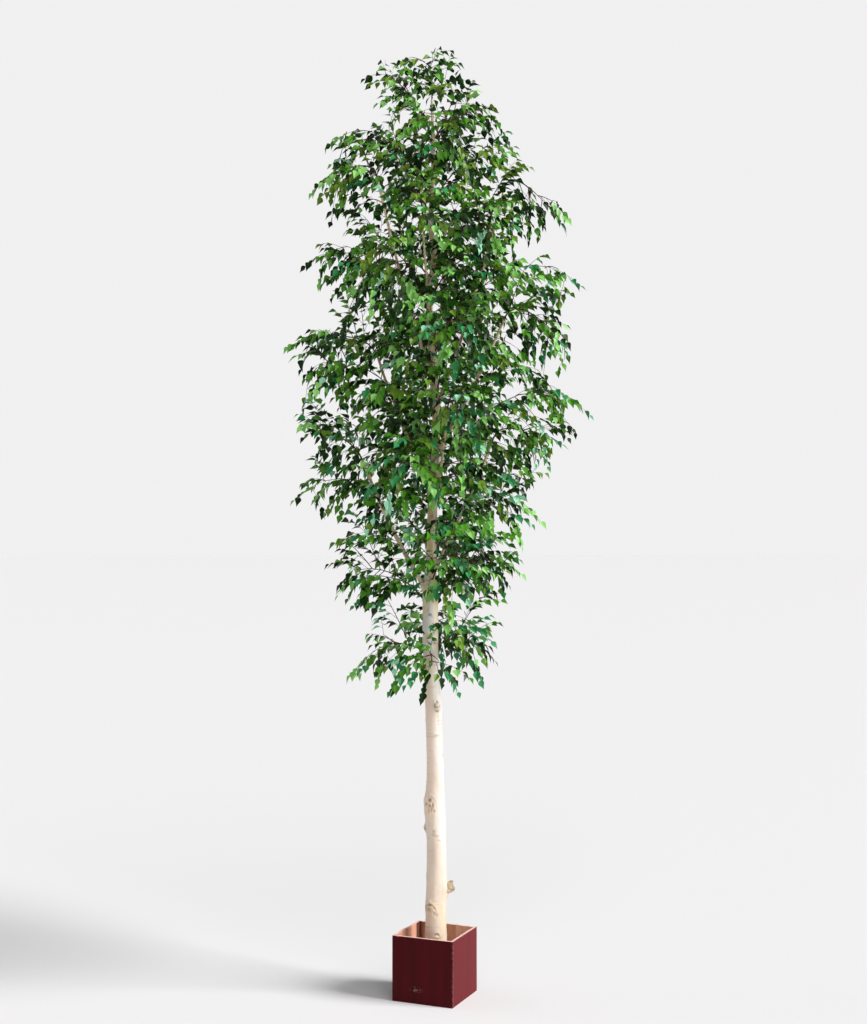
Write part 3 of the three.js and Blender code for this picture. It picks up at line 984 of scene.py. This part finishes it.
def bark_material(name):
    """Cream birch bark: soft streaks, blotches, faint lines across the grain, dark knots."""
    material, tree, shader = new_material(name, 0.62, 0.25)
    place = object_place(tree)
    streaks = noise(tree, place, 24, 4, (1, 1, 0.12))
    cream = ramp(tree, streaks, [(0.3, (206, 188, 170)), (0.5, (222, 210, 197)), (0.7, (230, 222, 213))])
    tanned = ramp(tree, streaks, [(0.3, (188, 150, 102)), (0.5, (228, 198, 148)), (0.7, (246, 228, 190))])
    blotches = scaled(tree, mask(tree, noise(tree, place, 7, 5, (1, 1, 0.5)), 0.5, 0.66), 0.4)
    base = mix(tree, blotches, cream, (214, 188, 158))
    # Besides bark colour, the rosy layer carries painted bounce light on the log's shaded side, and the
    # white layer a painted highlight on its lit side.
    layers = {"yellow": (214, 192, 154), "tan": tanned, "rosy_painted_bounce": (240, 214, 195), "white": (221, 218, 213)}
    for layer, colour in layers.items():
        base = mix(tree, attribute(tree, layer), base, colour)
    flecks = scaled(tree, mask(tree, noise(tree, place, 11, 3, (1, 1, 11)), 0.63, 0.7), 0.3)
    base = mix(tree, flecks, base, (158, 126, 98))
    grime = mask(tree, noise(tree, place, 130, 3), 0.15, 0.4)
    knot = ramp(tree, noise(tree, place, 46, 2), [(0.4, (44, 35, 34)), (0.62, (86, 66, 46))])
    base = mix(tree, scaled(tree, attribute(tree, "dark"), grime), base, knot)
    finish(tree, shader, base, noise(tree, place, 60, 5, (1, 1, 0.6)), 0.4, 0.0014)
    return material


def paint_material():
    """Dark red paint with soft upright streaks, paler on the lit boards as painted light, rubbed thin at
    the edges.
    """
    material, tree, shader = new_material("red_paint", 0.38, 0.09)
    place = object_place(tree)
    streaks = noise(tree, place, 14, 3, (1, 1, 0.08))
    plain_paint = ramp(tree, streaks, [(0.3, (62, 3, 8)), (0.6, (74, 5, 13)), (0.8, (90, 16, 26))])
    painted_light = ramp(tree, streaks, [(0.3, (84, 4, 11)), (0.6, (104, 7, 19)), (0.8, (124, 22, 38))])
    # Paler paint on the boards the key light falls on: painted light.
    paint = mix(tree, attribute(tree, "painted_light"), plain_paint, painted_light)
    specks = mask(tree, noise(tree, place, 95, 2, (1, 1, 2)), 0.58, 0.63)
    worn = mix(tree, scaled(tree, attribute(tree, "worn"), specks), paint, (232, 200, 190))
    finish(tree, shader, worn, noise(tree, place, 160, 4, (1, 1, 0.3)), 0.25, 0.0006)
    return material


def board_material():
    """Raw plywood: reddish grain with darker lines."""
    material, tree, shader = new_material("raw_plywood", 0.8, 0.25)
    place = object_place(tree)
    grain = noise(tree, place, 26, 5, (1, 1, 0.1), 0.65)
    raw = ramp(tree, grain, [(0.3, (150, 94, 72)), (0.5, (214, 154, 126)), (0.7, (240, 196, 172))])
    # Darker in an upright strip inside the back board, by its left corner.
    raw_with_strip = mix(tree, attribute(tree, "dark_corner_strip"), raw, (88, 46, 38))
    finish(tree, shader, raw_with_strip, grain, 0.3, 0.0008)
    return material


def rim_material():
    material, tree, shader = new_material("raw_rim", 0.8, 0.25)
    grain = noise(tree, object_place(tree), 90, 3)
    pale = ramp(tree, grain, [(0.3, (222, 180, 166)), (0.7, (246, 216, 204))])
    finish(tree, shader, pale, grain, 0.3, 0.0006)
    return material


def cast_material():
    material, tree, shader = new_material("cast_footing", 0.92, 0.3)
    place = object_place(tree)
    grey = ramp(tree, noise(tree, place, 18, 6), [(0.3, (134, 128, 118)), (0.7, (182, 176, 164))])
    finish(tree, shader, grey, noise(tree, place, 90, 6), 0.6, 0.002)
    return material


# ---------------------------------------------------------------- foliage pieces

foliage_nodes = sorted(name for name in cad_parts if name.startswith("foliage_"))

for tint_index, tint_name in enumerate(LEAF_COLOURS):
    mesh_data = leaf_mesh([row for row in leaf_rows if row[4] == tint_index], 11 + tint_index)
    make_piece(f"leaves_{tint_name}", *mesh_data, leaf_material(tint_name), foliage_nodes, "leaves")

stem_shares = np.linspace(0, 1, 9)
stem_centres = np.array([arc.at(stem_shares * end) for arc, end, _ in twig_runs])
stem_radii = np.array([thick + (TWIG_TIP_RADIUS - thick) * stem_shares for _, _, thick in twig_runs])
spray_shares = np.linspace(0, 1, 4)
spray_centres = np.array([arc.point(spray_shares) for arc in spray_runs])
spray_radii = np.tile(1.15 - 0.55 * spray_shares, (len(spray_runs), 1))
twig_mesh = joined([tubes(stem_centres, stem_radii, 6), tubes(spray_centres, spray_radii, 3)])
twig_bark = wood_material("twig_bark", (46, 32, 24), (88, 66, 48), 60)
make_piece("twigs", *twig_mesh, twig_bark, foliage_nodes, "leaves")
stalk_centres = np.array(stalk_rows)
stalk_mesh = tubes(stalk_centres, np.full(stalk_centres.shape[:2], STALK_RADIUS), 3)
stalk_green = wood_material("stalk_green", (52, 62, 26), (84, 92, 44), 60)
make_piece("leaf_stalks", *stalk_mesh, stalk_green, foliage_nodes, "leaves")

# ---------------------------------------------------------------- trunk and boughs


def lattice(rng, rows, columns):
    return rng.uniform(-1, 1, (rows, columns))


def sheet_noise(grid, v, u):
    """Smooth noise over a sheet that closes on itself across u. v and u are in cells."""
    rows, columns = grid.shape
    v0, u0 = np.floor(v).astype(int), np.floor(u).astype(int)
    fv, fu = v - v0, u - u0
    fv, fu = fv * fv * (3 - 2 * fv), fu * fu * (3 - 2 * fu)
    a = grid[v0 % rows, u0 % columns]
    b = grid[v0 % rows, (u0 + 1) % columns]
    c = grid[(v0 + 1) % rows, u0 % columns]
    d = grid[(v0 + 1) % rows, (u0 + 1) % columns]
    return (a * (1 - fu) + b * fu) * (1 - fv) + (c * (1 - fu) + d * fu) * fv


TRUNK_SIDES = 96
TRUNK_STEP = 5.2

# Heights between which a look of the bark sets in, or fades out where the first is the higher.
PEELING = (1420, 1640)
TANNED = (1480, 1900)
# Up in the crown, where leaves shade the log, the painted light on its sides fades out.
DAYLIT = (1900, 1500)
YELLOWED = (760, 340)
CLEAN = (380, 680)

trunk_heights = np.arange(LOG[0][0], LOG[-1][0], TRUNK_STEP)
trunk_rows = [log_at(height) for height in trunk_heights]
trunk_centres = np.array([centre for centre, _ in trunk_rows])
trunk_radii = np.array([radius for _, radius in trunk_rows])
trunk_azimuths = np.linspace(0, 360, TRUNK_SIDES, endpoint=False)
outward = np.array([heading(azimuth) for azimuth in trunk_azimuths])
height_grid = np.repeat(trunk_heights[:, None], TRUNK_SIDES, axis=1)
azimuth_grid = np.repeat(trunk_azimuths[None], len(trunk_heights), axis=0)
radius_grid = np.repeat(trunk_radii[:, None], TRUNK_SIDES, axis=1)


def around_from(azimuth):
    """Signed distance round the log from an azimuth."""
    turn = (azimuth_grid - azimuth + 180) % 360 - 180
    return np.radians(turn) * radius_grid


def swelling():
    """How far knots and sawn-off branches raise the log's skin."""
    total = np.zeros_like(height_grid)
    for height, azimuth, depth, width in KNOTS:
        square = (height_grid - height) ** 2 + around_from(azimuth) ** 2
        total += depth * np.exp(-square / width**2)
    for height, azimuth, length, radius in STUBS:
        below = np.where(height_grid < height, 0.7, 1.1) * (height_grid - height)
        square = below**2 + around_from(azimuth) ** 2
        total += 0.62 * length * np.exp(-square / (1.1 * radius) ** 2)
    return total


trunk_rng = np.random.default_rng(5)
TRUNK_NOISE_HEIGHT = 4400  # above the log's tip


def trunk_noise(cell_height, cells_round):
    """Smooth noise over the log. Each call draws a new lattice."""
    grid = lattice(trunk_rng, int(TRUNK_NOISE_HEIGHT / cell_height) + 3, cells_round)
    return sheet_noise(grid, height_grid / cell_height, azimuth_grid / 360 * cells_round)


relief = 1.1 * trunk_noise(170, 5) + 0.7 * trunk_noise(60, 9) + 0.3 * trunk_noise(16, 24)
ridges = 0.35 * trunk_noise(9, 14)
relief = relief * (0.5 + radius_grid / 90) + ridges

# Plates of white bark stand a little proud of the tan wood where they have peeled.
plates = trunk_noise(140, 4) + 0.5 * trunk_noise(45, 9)
white = np.clip(1.6 * (plates - 0.35), 0, 1) * rise(height_grid, *PEELING)
white = np.clip(white * 2.2, 0, 1)
relief += 0.9 * white

# Marks of knots: height, azimuth, half length, sag of their ends, thickness and how dark.
SCARS = [
    (296, 275, 17, 16, 4, 0.8),
    (272, 276, 18, -2, 5, 0.45),
    (430, 235, 34, 36, 4, 0.85),
    (429, 233, 7, 2, 7, 1),
    (408, 224, 15, 5, 11, 0.55),
    (392, 258, 4, 2, 6, 0.6),
    (384, 272, 4, 2, 5, 0.5),
    (777, 196, 8, 3, 9, 0.55),
    (766, 252, 9, 4, 7, 0.3),
    (926, 240, 24, 26, 5, 0.12),
    (912, 237, 7, 3, 8, 0.95),
    (893, 214, 6, 3, 6, 0.75),
    (886, 236, 7, 3, 5, 1),
    (866, 231, 3, 0, 13, 0.6),
    (868, 245, 3, 0, 12, 0.5),
    (890, 255, 4, 6, 11, 0.7),
    (862, 264, 4, 2, 5, 0.55),
    (1366, 292, 6, 2, 5, 0.8),
    (1349, 279, 4, 2, 9, 0.9),
    (1346, 306, 3, 1, 10, 0.8),
    (1322, 293, 10, -6, 5, 0.9),
    (1280, 298, 3, 0, 34, 0.16),
    (1262, 188, 4, 2, 7, 0.8),
    (1208, 285, 20, 2, 4, 0.35),
    (1118, 340, 5, 2, 8, 0.5),
    (742, 270, 16, -5, 4, 0.35),
    (724, 282, 12, 4, 4, 0.3),
    (540, 186, 3, 3, 9, 0.6),
    (1640, 300, 14, 8, 6, 0.8),
    (1770, 265, 11, 7, 6, 0.7),
    (1838, 282, 16, 8, 6, 0.6),
    (2230, 280, 13, 9, 6, 0.8),
    (2600, 250, 10, 6, 5, 0.7),
    (2960, 200, 12, 8, 6, 0.8),
    (3200, 285, 9, 6, 5, 0.7),
    (3510, 210, 8, 6, 5, 0.7),
    (620, 70, 20, 14, 7, 0.9),
    (1010, 110, 16, 11, 6, 0.8),
    (1480, 60, 15, 9, 7, 0.8),
    (350, 140, 15, 10, 6, 0.7),
    (1190, 20, 13, 8, 6, 0.7),
]
dark = np.zeros_like(height_grid)
halos = np.zeros_like(height_grid)
for scar_height, scar_azimuth, half_length, sag, thickness, strength in SCARS:
    aside = around_from(scar_azimuth)
    across_scar = aside / half_length
    line = scar_height - sag * across_scar**2
    ends = np.exp(-np.abs(across_scar) ** 3)
    depth = np.exp(-(((height_grid - line) / thickness) ** 2)) * ends
    dark = np.maximum(dark, strength * depth)
    relief -= 2.6 * depth
    relief += 2.2 * np.exp(-(((height_grid - line - 2.2 * thickness) / thickness) ** 2)) * ends
    below = height_grid - scar_height + 3 * thickness
    halo = np.exp(-((below / (3.5 * thickness)) ** 2) - (aside / (1.6 * half_length)) ** 2)
    halos = np.maximum(halos, 0.8 * strength * halo)
dark = np.clip(dark * (0.8 + 0.5 * trunk_noise(7, 30)), 0, 1)

# The side towards the tree's right is paler, partly a painted highlight where the key light falls, the
# other side rosy, partly painted bounce light on the shaded side, and the foot of the log yellower.
tan = rise(height_grid, *TANNED) * np.clip(0.75 + 0.5 * trunk_noise(90, 6), 0, 1)
tan = np.maximum(tan, halos)
# Rosy on the side away from the key light: partly bark colour, partly painted bounce light on the shaded
# side.
rosy_painted_bounce = np.clip(0.15 - np.cos(np.radians(azimuth_grid - 20)) * 0.9, 0, 1) * 0.75
rosy_painted_bounce *= np.clip(0.7 + 0.7 * trunk_noise(240, 6), 0, 1) * np.maximum(rise(height_grid, *DAYLIT), 0.2)
yellow = 0.62 * rise(height_grid, *YELLOWED) * np.clip(0.75 + 0.5 * trunk_noise(110, 6), 0, 1)
# Paler on the side the key light falls on: a painted highlight, carried in the white layer along with the
# peeled plates.
painted_highlight_side = np.clip(np.cos(np.radians(azimuth_grid - 340)) * 1.3 - 0.2, 0, 1)
painted_highlight_side *= np.clip(0.75 + 0.6 * trunk_noise(200, 5), 0, 1) * np.maximum(rise(height_grid, *CLEAN), 0.25)
white = np.maximum(white, 0.8 * painted_highlight_side * rise(height_grid, *DAYLIT))

trunk_out = radius_grid + swelling() + relief
trunk_verts = trunk_centres[:, None] + outward[None] * trunk_out[..., None]
trunk_verts[0, :, 2] = LOG[0][0]
around = np.arange(TRUNK_SIDES)
top_ring = (len(trunk_heights) - 1) * TRUNK_SIDES
foot_index = top_ring + TRUNK_SIDES
trunk_tris = np.concatenate([
    ring_tris(len(trunk_heights), TRUNK_SIDES),
    np.stack([np.roll(around, -1), around, np.full(TRUNK_SIDES, foot_index)], 1),
    np.stack([top_ring + around, top_ring + np.roll(around, -1), np.full(TRUNK_SIDES, foot_index + 1)], 1),
])
end_points = [trunk_centres[0], trunk_centres[-1] + UP * 3]
trunk_verts = np.concatenate([trunk_verts.reshape(-1, 3), end_points])

STUB_SIDES = 40
STUB_STEPS = 26
TORN_RINGS = (0.72, 0.45, 0.2)


def stub_mesh(row, seed):
    """A sawn or torn stub: a short limb that flares into the log, with a rough end."""
    height, azimuth, length, radius = row
    rng = np.random.default_rng(seed)
    centre, log_radius = log_at(height)
    aim = heading(azimuth)
    foot = centre + aim * log_radius * 0.3 - UP * radius * 0.5
    tip = centre + aim * (log_radius + length) + UP * radius * 0.4
    axis = unit(tip - foot)
    side = unit(np.cross(axis, UP))
    over = np.cross(side, axis)
    turns = np.arange(STUB_SIDES) / STUB_SIDES
    ways = side * np.cos(2 * np.pi * turns)[:, None] + over * np.sin(2 * np.pi * turns)[:, None]
    grid = lattice(rng, 40, 12)

    def rough(row):
        return sheet_noise(grid, np.full(STUB_SIDES, row), turns * 12)

    rings = []
    for step in range(STUB_STEPS + 1):
        share = step / STUB_STEPS
        spread = radius * (1.25 - 0.4 * share + 0.5 * max(0, 0.45 - share) ** 2)
        out = spread * (1 + 0.13 * rough(share * 7.0)) - (4 if step == STUB_STEPS else 0)
        run = share * np.linalg.norm(tip - foot) + 0.3 * radius * rough(share * 7.0) * share**5
        rings.append(foot + axis * run[:, None] + ways * out[:, None])
    # The torn end: rings that close in on the middle, rough and hollowed.
    for step, share in enumerate(TORN_RINGS):
        run = 0.22 * radius * rough(11.0 + step) - 5 * (1 - share)
        rings.append(tip + axis * run[:, None] + ways * radius * 0.8 * share)
    last = (len(rings) - 1) * STUB_SIDES
    middle = last + STUB_SIDES
    ends = [(last + k, last + (k + 1) % STUB_SIDES, middle) for k in range(STUB_SIDES)]
    ends += [(0, k + 1, k) for k in range(1, STUB_SIDES - 1)]
    tris = np.concatenate([ring_tris(len(rings), STUB_SIDES), ends])
    return np.concatenate(rings + [[tip - axis * 6]]), tris


def set_attribute(piece, name, values):
    layer = piece.data.attributes.new(name, "FLOAT", "POINT")
    layer.data.foreach_set("value", np.asarray(values, np.float32))


trunk_bark = bark_material("birch_bark")
stub_parts = [stub_mesh(row, 31 + i) for i, row in enumerate(STUBS)]
whole_mesh = joined([(trunk_verts, trunk_tris)] + stub_parts)
trunk = make_piece("trunk_bark", *whole_mesh, trunk_bark, ["trunk"], "bark")

# How far along its stub each point of a stub is.
rings_along = np.repeat(np.linspace(0, 1, STUB_STEPS + 1), STUB_SIDES)
torn_end = np.ones(len(TORN_RINGS) * STUB_SIDES + 1)
on_stubs = np.tile(np.concatenate([rings_along, torn_end]), len(STUBS))
for layer_name, layer_grid, on_stub in (
    ("tan", tan, 0.25 + 0.2 * on_stubs),
    ("rosy_painted_bounce", rosy_painted_bounce, 0 * on_stubs),
    ("white", white, 0 * on_stubs),
    ("yellow", yellow, 0.25 + 0.2 * on_stubs),
    ("dark", dark, 0.1 + 0.5 * on_stubs**4),
):
    set_attribute(trunk, layer_name, np.concatenate([layer_grid.ravel(), [0, 0], on_stub]))

BOUGH_SIDES = 20
BOUGH_STEPS = 70
PATCH_STEPS = 7  # a dark patch of bark is this long
bough_shares = np.linspace(0.02, 1, BOUGH_STEPS)
bough_centres, bough_rows = [], []
bough_rng = np.random.default_rng(17)
for arc, foot_radius, tip_radius in boughs.values():
    wander = sheet_noise(lattice(bough_rng, 12, 3), bough_shares * 9, np.zeros(BOUGH_STEPS))
    sway = sheet_noise(lattice(bough_rng, 12, 3), bough_shares * 9, np.ones(BOUGH_STEPS))
    centres = arc.at(bough_shares)
    ease = (np.sin(np.pi * bough_shares) * 3)[:, None]
    centres = centres + ease * (wander[:, None] * heading(0) + sway[:, None] * heading(90))
    swell = 1 + 0.08 * sheet_noise(lattice(bough_rng, 30, 3), bough_shares * 24, np.zeros(BOUGH_STEPS))
    flare = 0.5 * np.exp(-(((bough_shares - 0.06) / 0.04) ** 2))
    bough_centres.append(centres)
    bough_rows.append((foot_radius + (tip_radius - foot_radius) * bough_shares) * (swell + flare))
bough_verts, bough_tris = tubes(np.array(bough_centres), np.array(bough_rows), BOUGH_SIDES)
bough_names = [row[0] for row in BOUGHS]
bough_piece = make_piece("boughs_bark", bough_verts, bough_tris, trunk_bark, bough_names, "bough_bark")
shares = np.tile(np.repeat(bough_shares, BOUGH_SIDES), len(boughs))
patch = bough_rng.uniform(0, 1, (len(boughs), BOUGH_STEPS // PATCH_STEPS + 1))
patches = np.repeat(np.repeat(patch, PATCH_STEPS, axis=1)[:, :BOUGH_STEPS].ravel(), BOUGH_SIDES)
set_attribute(bough_piece, "tan", 0.45 + 0.4 * shares)
set_attribute(bough_piece, "dark", 0.25 * (patches > 0.8))
for layer_name in ("rosy_painted_bounce", "white", "yellow"):
    set_attribute(bough_piece, layer_name, np.zeros(len(bough_verts)))

# ---------------------------------------------------------------- the planter

# In metres from here on.
HALF = PLANTER * MM / 2
EASED = 0.0009  # how far a board's edges are eased
RIM = 0.002  # how deep a rim reaches
EDGE = 0.0012  # how deep the uneven top and foot of a side board reach
SKIN = 0.0011  # faces no deeper than this under the outside are painted
CORNER = 0.0015  # how near to a corner the paint is chipped
UNEVEN = {"planter_left": 0.0026, "planter_back": 0.0026, "planter_front": 0.0008, "planter_right": 0.0008}
# How much paler each board's paint is: painted light, strongest on the right board where the key light
# falls.
PAINTED_LIGHT_BY_BOARD = {"planter_right": 1, "planter_back": 0.6, "planter_left": 0.2}
BOARD_CELLS = 40  # along each side of a side board
SCUFF_X, SCUFF_Z = -0.034, 0.066  # on the front
DARK_STRIP_X = -0.135  # inside the back board, by its left corner, where the wood is darker in an upright strip

board_materials = paint_material(), board_material(), rim_material()
wave_grid = lattice(np.random.default_rng(23), 8, 24)


def board_noise(row, run):
    return float(sheet_noise(wave_grid, np.array([row]), np.array([run % 24]))[0])


def board_mesh(name, low, high, cells):
    """A board with eased edges, cut into a grid of cells."""
    mesh = bmesh.new()
    bmesh.ops.create_cube(mesh, size=1)
    for vert in mesh.verts:
        vert.co = Vector([low[i] + (high[i] - low[i]) * (vert.co[i] + 0.5) for i in range(3)])
    for axis, count in enumerate(cells):
        for k in range(1, count):
            plane = low.copy()
            plane[axis] = low[axis] + (high[axis] - low[axis]) * k / count
            normal = Vector([1 if i == axis else 0 for i in range(3)])
            geometry = mesh.verts[:] + mesh.edges[:] + mesh.faces[:]
            bmesh.ops.bisect_plane(mesh, geom=geometry, plane_co=plane, plane_no=normal)
    sharp = [edge for edge in mesh.edges if edge.is_manifold and edge.calc_face_angle() > 1]
    bmesh.ops.bevel(
        mesh, geom=sharp, offset=EASED, segments=2, affect="EDGES", profile=0.6, clamp_overlap=True
    )
    mesh.normal_update()
    data = bpy.data.meshes.new(name)
    mesh.to_mesh(data)
    mesh.free()
    return data


def make_board(name, cells):
    """A plywood board: painted outside, raw inside, its rim slightly wavy and its corners worn."""
    low, high = (Vector(corner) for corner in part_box(name))
    data = board_mesh(name + "_board", low, high, cells)
    piece = place_piece(name + "_board", data, board_materials, [name])
    is_side = name in UNEVEN
    worn, dark_corner_strip = [], []
    for vert in data.vertices:
        x, y, z = vert.co
        run = (x + y + 1) * 40
        wave, ragged = board_noise(0.5, run), board_noise(4.5, run * 2.3)
        if is_side and z > high[2] - EDGE:
            vert.co.z += UNEVEN[name] * wave - 0.0006
        if is_side and z < low[2] + EDGE:
            vert.co.z += 0.0004 * (1 + ragged)
        at_corner = abs(abs(x) - HALF) < CORNER and abs(abs(y) - HALF) < CORNER
        wear = 0.7 * max(0, ragged) if at_corner else 0
        if z > high[2] - RIM:
            wear += 0.9 * max(0, wave)
        if y < 0.001 - HALF:
            wear += math.exp(-(((x - SCUFF_X) / 0.02) ** 2) - ((z - SCUFF_Z) / 0.007) ** 2)
        worn.append(min(1, wear))
        dark_corner_strip.append(math.exp(-(((x - DARK_STRIP_X) / 0.012) ** 2)) if y > 0.1 else 0)
    set_attribute(piece, "worn", worn)
    set_attribute(piece, "dark_corner_strip", dark_corner_strip)
    set_attribute(piece, "painted_light", [PAINTED_LIGHT_BY_BOARD.get(name, 0)] * len(data.vertices))
    for face in data.polygons:
        centre, normal = face.center, face.normal
        outside = any(abs(centre[i]) > HALF - SKIN and abs(normal[i]) > 0.6 for i in (0, 1))
        on_rim = is_side and normal.z > 0.6 and centre.z > high[2] - RIM
        face.material_index = 0 if outside else 2 if on_rim else 1
        face.use_smooth = False


for side in ("front", "back", "left", "right"):
    across = side in ("front", "back")
    cells = (BOARD_CELLS, 1, BOARD_CELLS) if across else (1, BOARD_CELLS, BOARD_CELLS)
    make_board(f"planter_{side}", cells)
make_board("planter_floor", (12, 12, 1))

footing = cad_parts["footing"]
footing.data.materials.clear()
footing.data.materials.append(cast_material())

# ---------------------------------------------------------------- floor, light and camera

FLOOR_RADIUS = 400
VIEW = math.radians(23.1)  # from the planter's front, towards its right
PITCH = math.radians(1.4)
DISTANCE, HEIGHT, ASIDE = 6.95, 2.08, 0.007  # of the camera
LENS, SENSOR = 52.14, 36
DOME, WALL = 0.16, 0.95  # how strongly each shines

to_camera = Vector((math.sin(VIEW), -math.cos(VIEW), 0))
to_right = Vector((math.cos(VIEW), math.sin(VIEW), 0))
up = Vector((0, 0, 1))


def floor_disc():
    """A pale floor that reaches to the horizon."""
    circle = bmesh.new()
    bmesh.ops.create_circle(circle, cap_ends=True, segments=96, radius=FLOOR_RADIUS)
    data = bpy.data.meshes.new("floor")
    circle.to_mesh(data)
    circle.free()
    material, _, shader = new_material("pale_floor", 0.9, 0.1)
    shader.inputs["Base Color"].default_value = (0.8, 0.795, 0.8, 1)
    data.materials.append(material)
    add_object("floor", data)


floor_disc()

# The room is a dim even dome that the camera sees as a pale wall.
world = bpy.data.worlds.new("studio")
bpy.context.scene.world = world
world.use_nodes = True
room = world.node_tree
dome = room.nodes["Background"]
dome.inputs["Color"].default_value = (0.94, 0.96, 1.0, 1)
dome.inputs["Strength"].default_value = DOME
wall = room.nodes.new("ShaderNodeBackground")
wall.inputs["Color"].default_value = (0.93, 0.92, 0.93, 1)
wall.inputs["Strength"].default_value = WALL
ray = room.nodes.new("ShaderNodeLightPath")
either = room.nodes.new("ShaderNodeMixShader")
room.links.new(ray.outputs["Is Camera Ray"], either.inputs["Fac"])
room.links.new(dome.outputs[0], either.inputs[1])
room.links.new(wall.outputs[0], either.inputs[2])
room.links.new(either.outputs[0], room.nodes["World Output"].inputs["Surface"])


def soft_light(name, towards, strength, spread, colour):
    """A large far light. towards points from the tree to the light."""
    light = bpy.data.lights.new(name, "SUN")
    light.energy = strength
    light.angle = math.radians(spread)
    light.color = colour
    lamp = add_object(name, light)
    lamp.rotation_euler = (-towards).to_track_quat("-Z", "Y").to_euler()


soft_light("key", to_right * 1.0 + to_camera * 0.35 + up * 0.75, 4.0, 26, (1.0, 0.99, 0.985))
soft_light("fill", to_camera * 1.0 + to_right * 0.25 + up * 0.8, 1.0, 50, (1.0, 0.98, 0.97))
soft_light("bounce", up * 0.35 - to_right * 1.0 - to_camera * 0.3, 0.5, 60, (1.0, 0.99, 0.98))

bpy.context.scene.view_settings.view_transform = "Standard"

camera_data = bpy.data.cameras.new("camera")
camera_data.lens = LENS
camera_data.sensor_width = SENSOR
camera = add_object("camera", camera_data)
camera.location = to_camera * DISTANCE - to_right * ASIDE + up * HEIGHT
look = up * math.sin(PITCH) - to_camera * math.cos(PITCH)
camera.rotation_euler = look.to_track_quat("-Z", "Y").to_euler()
bpy.context.scene.camera = camera
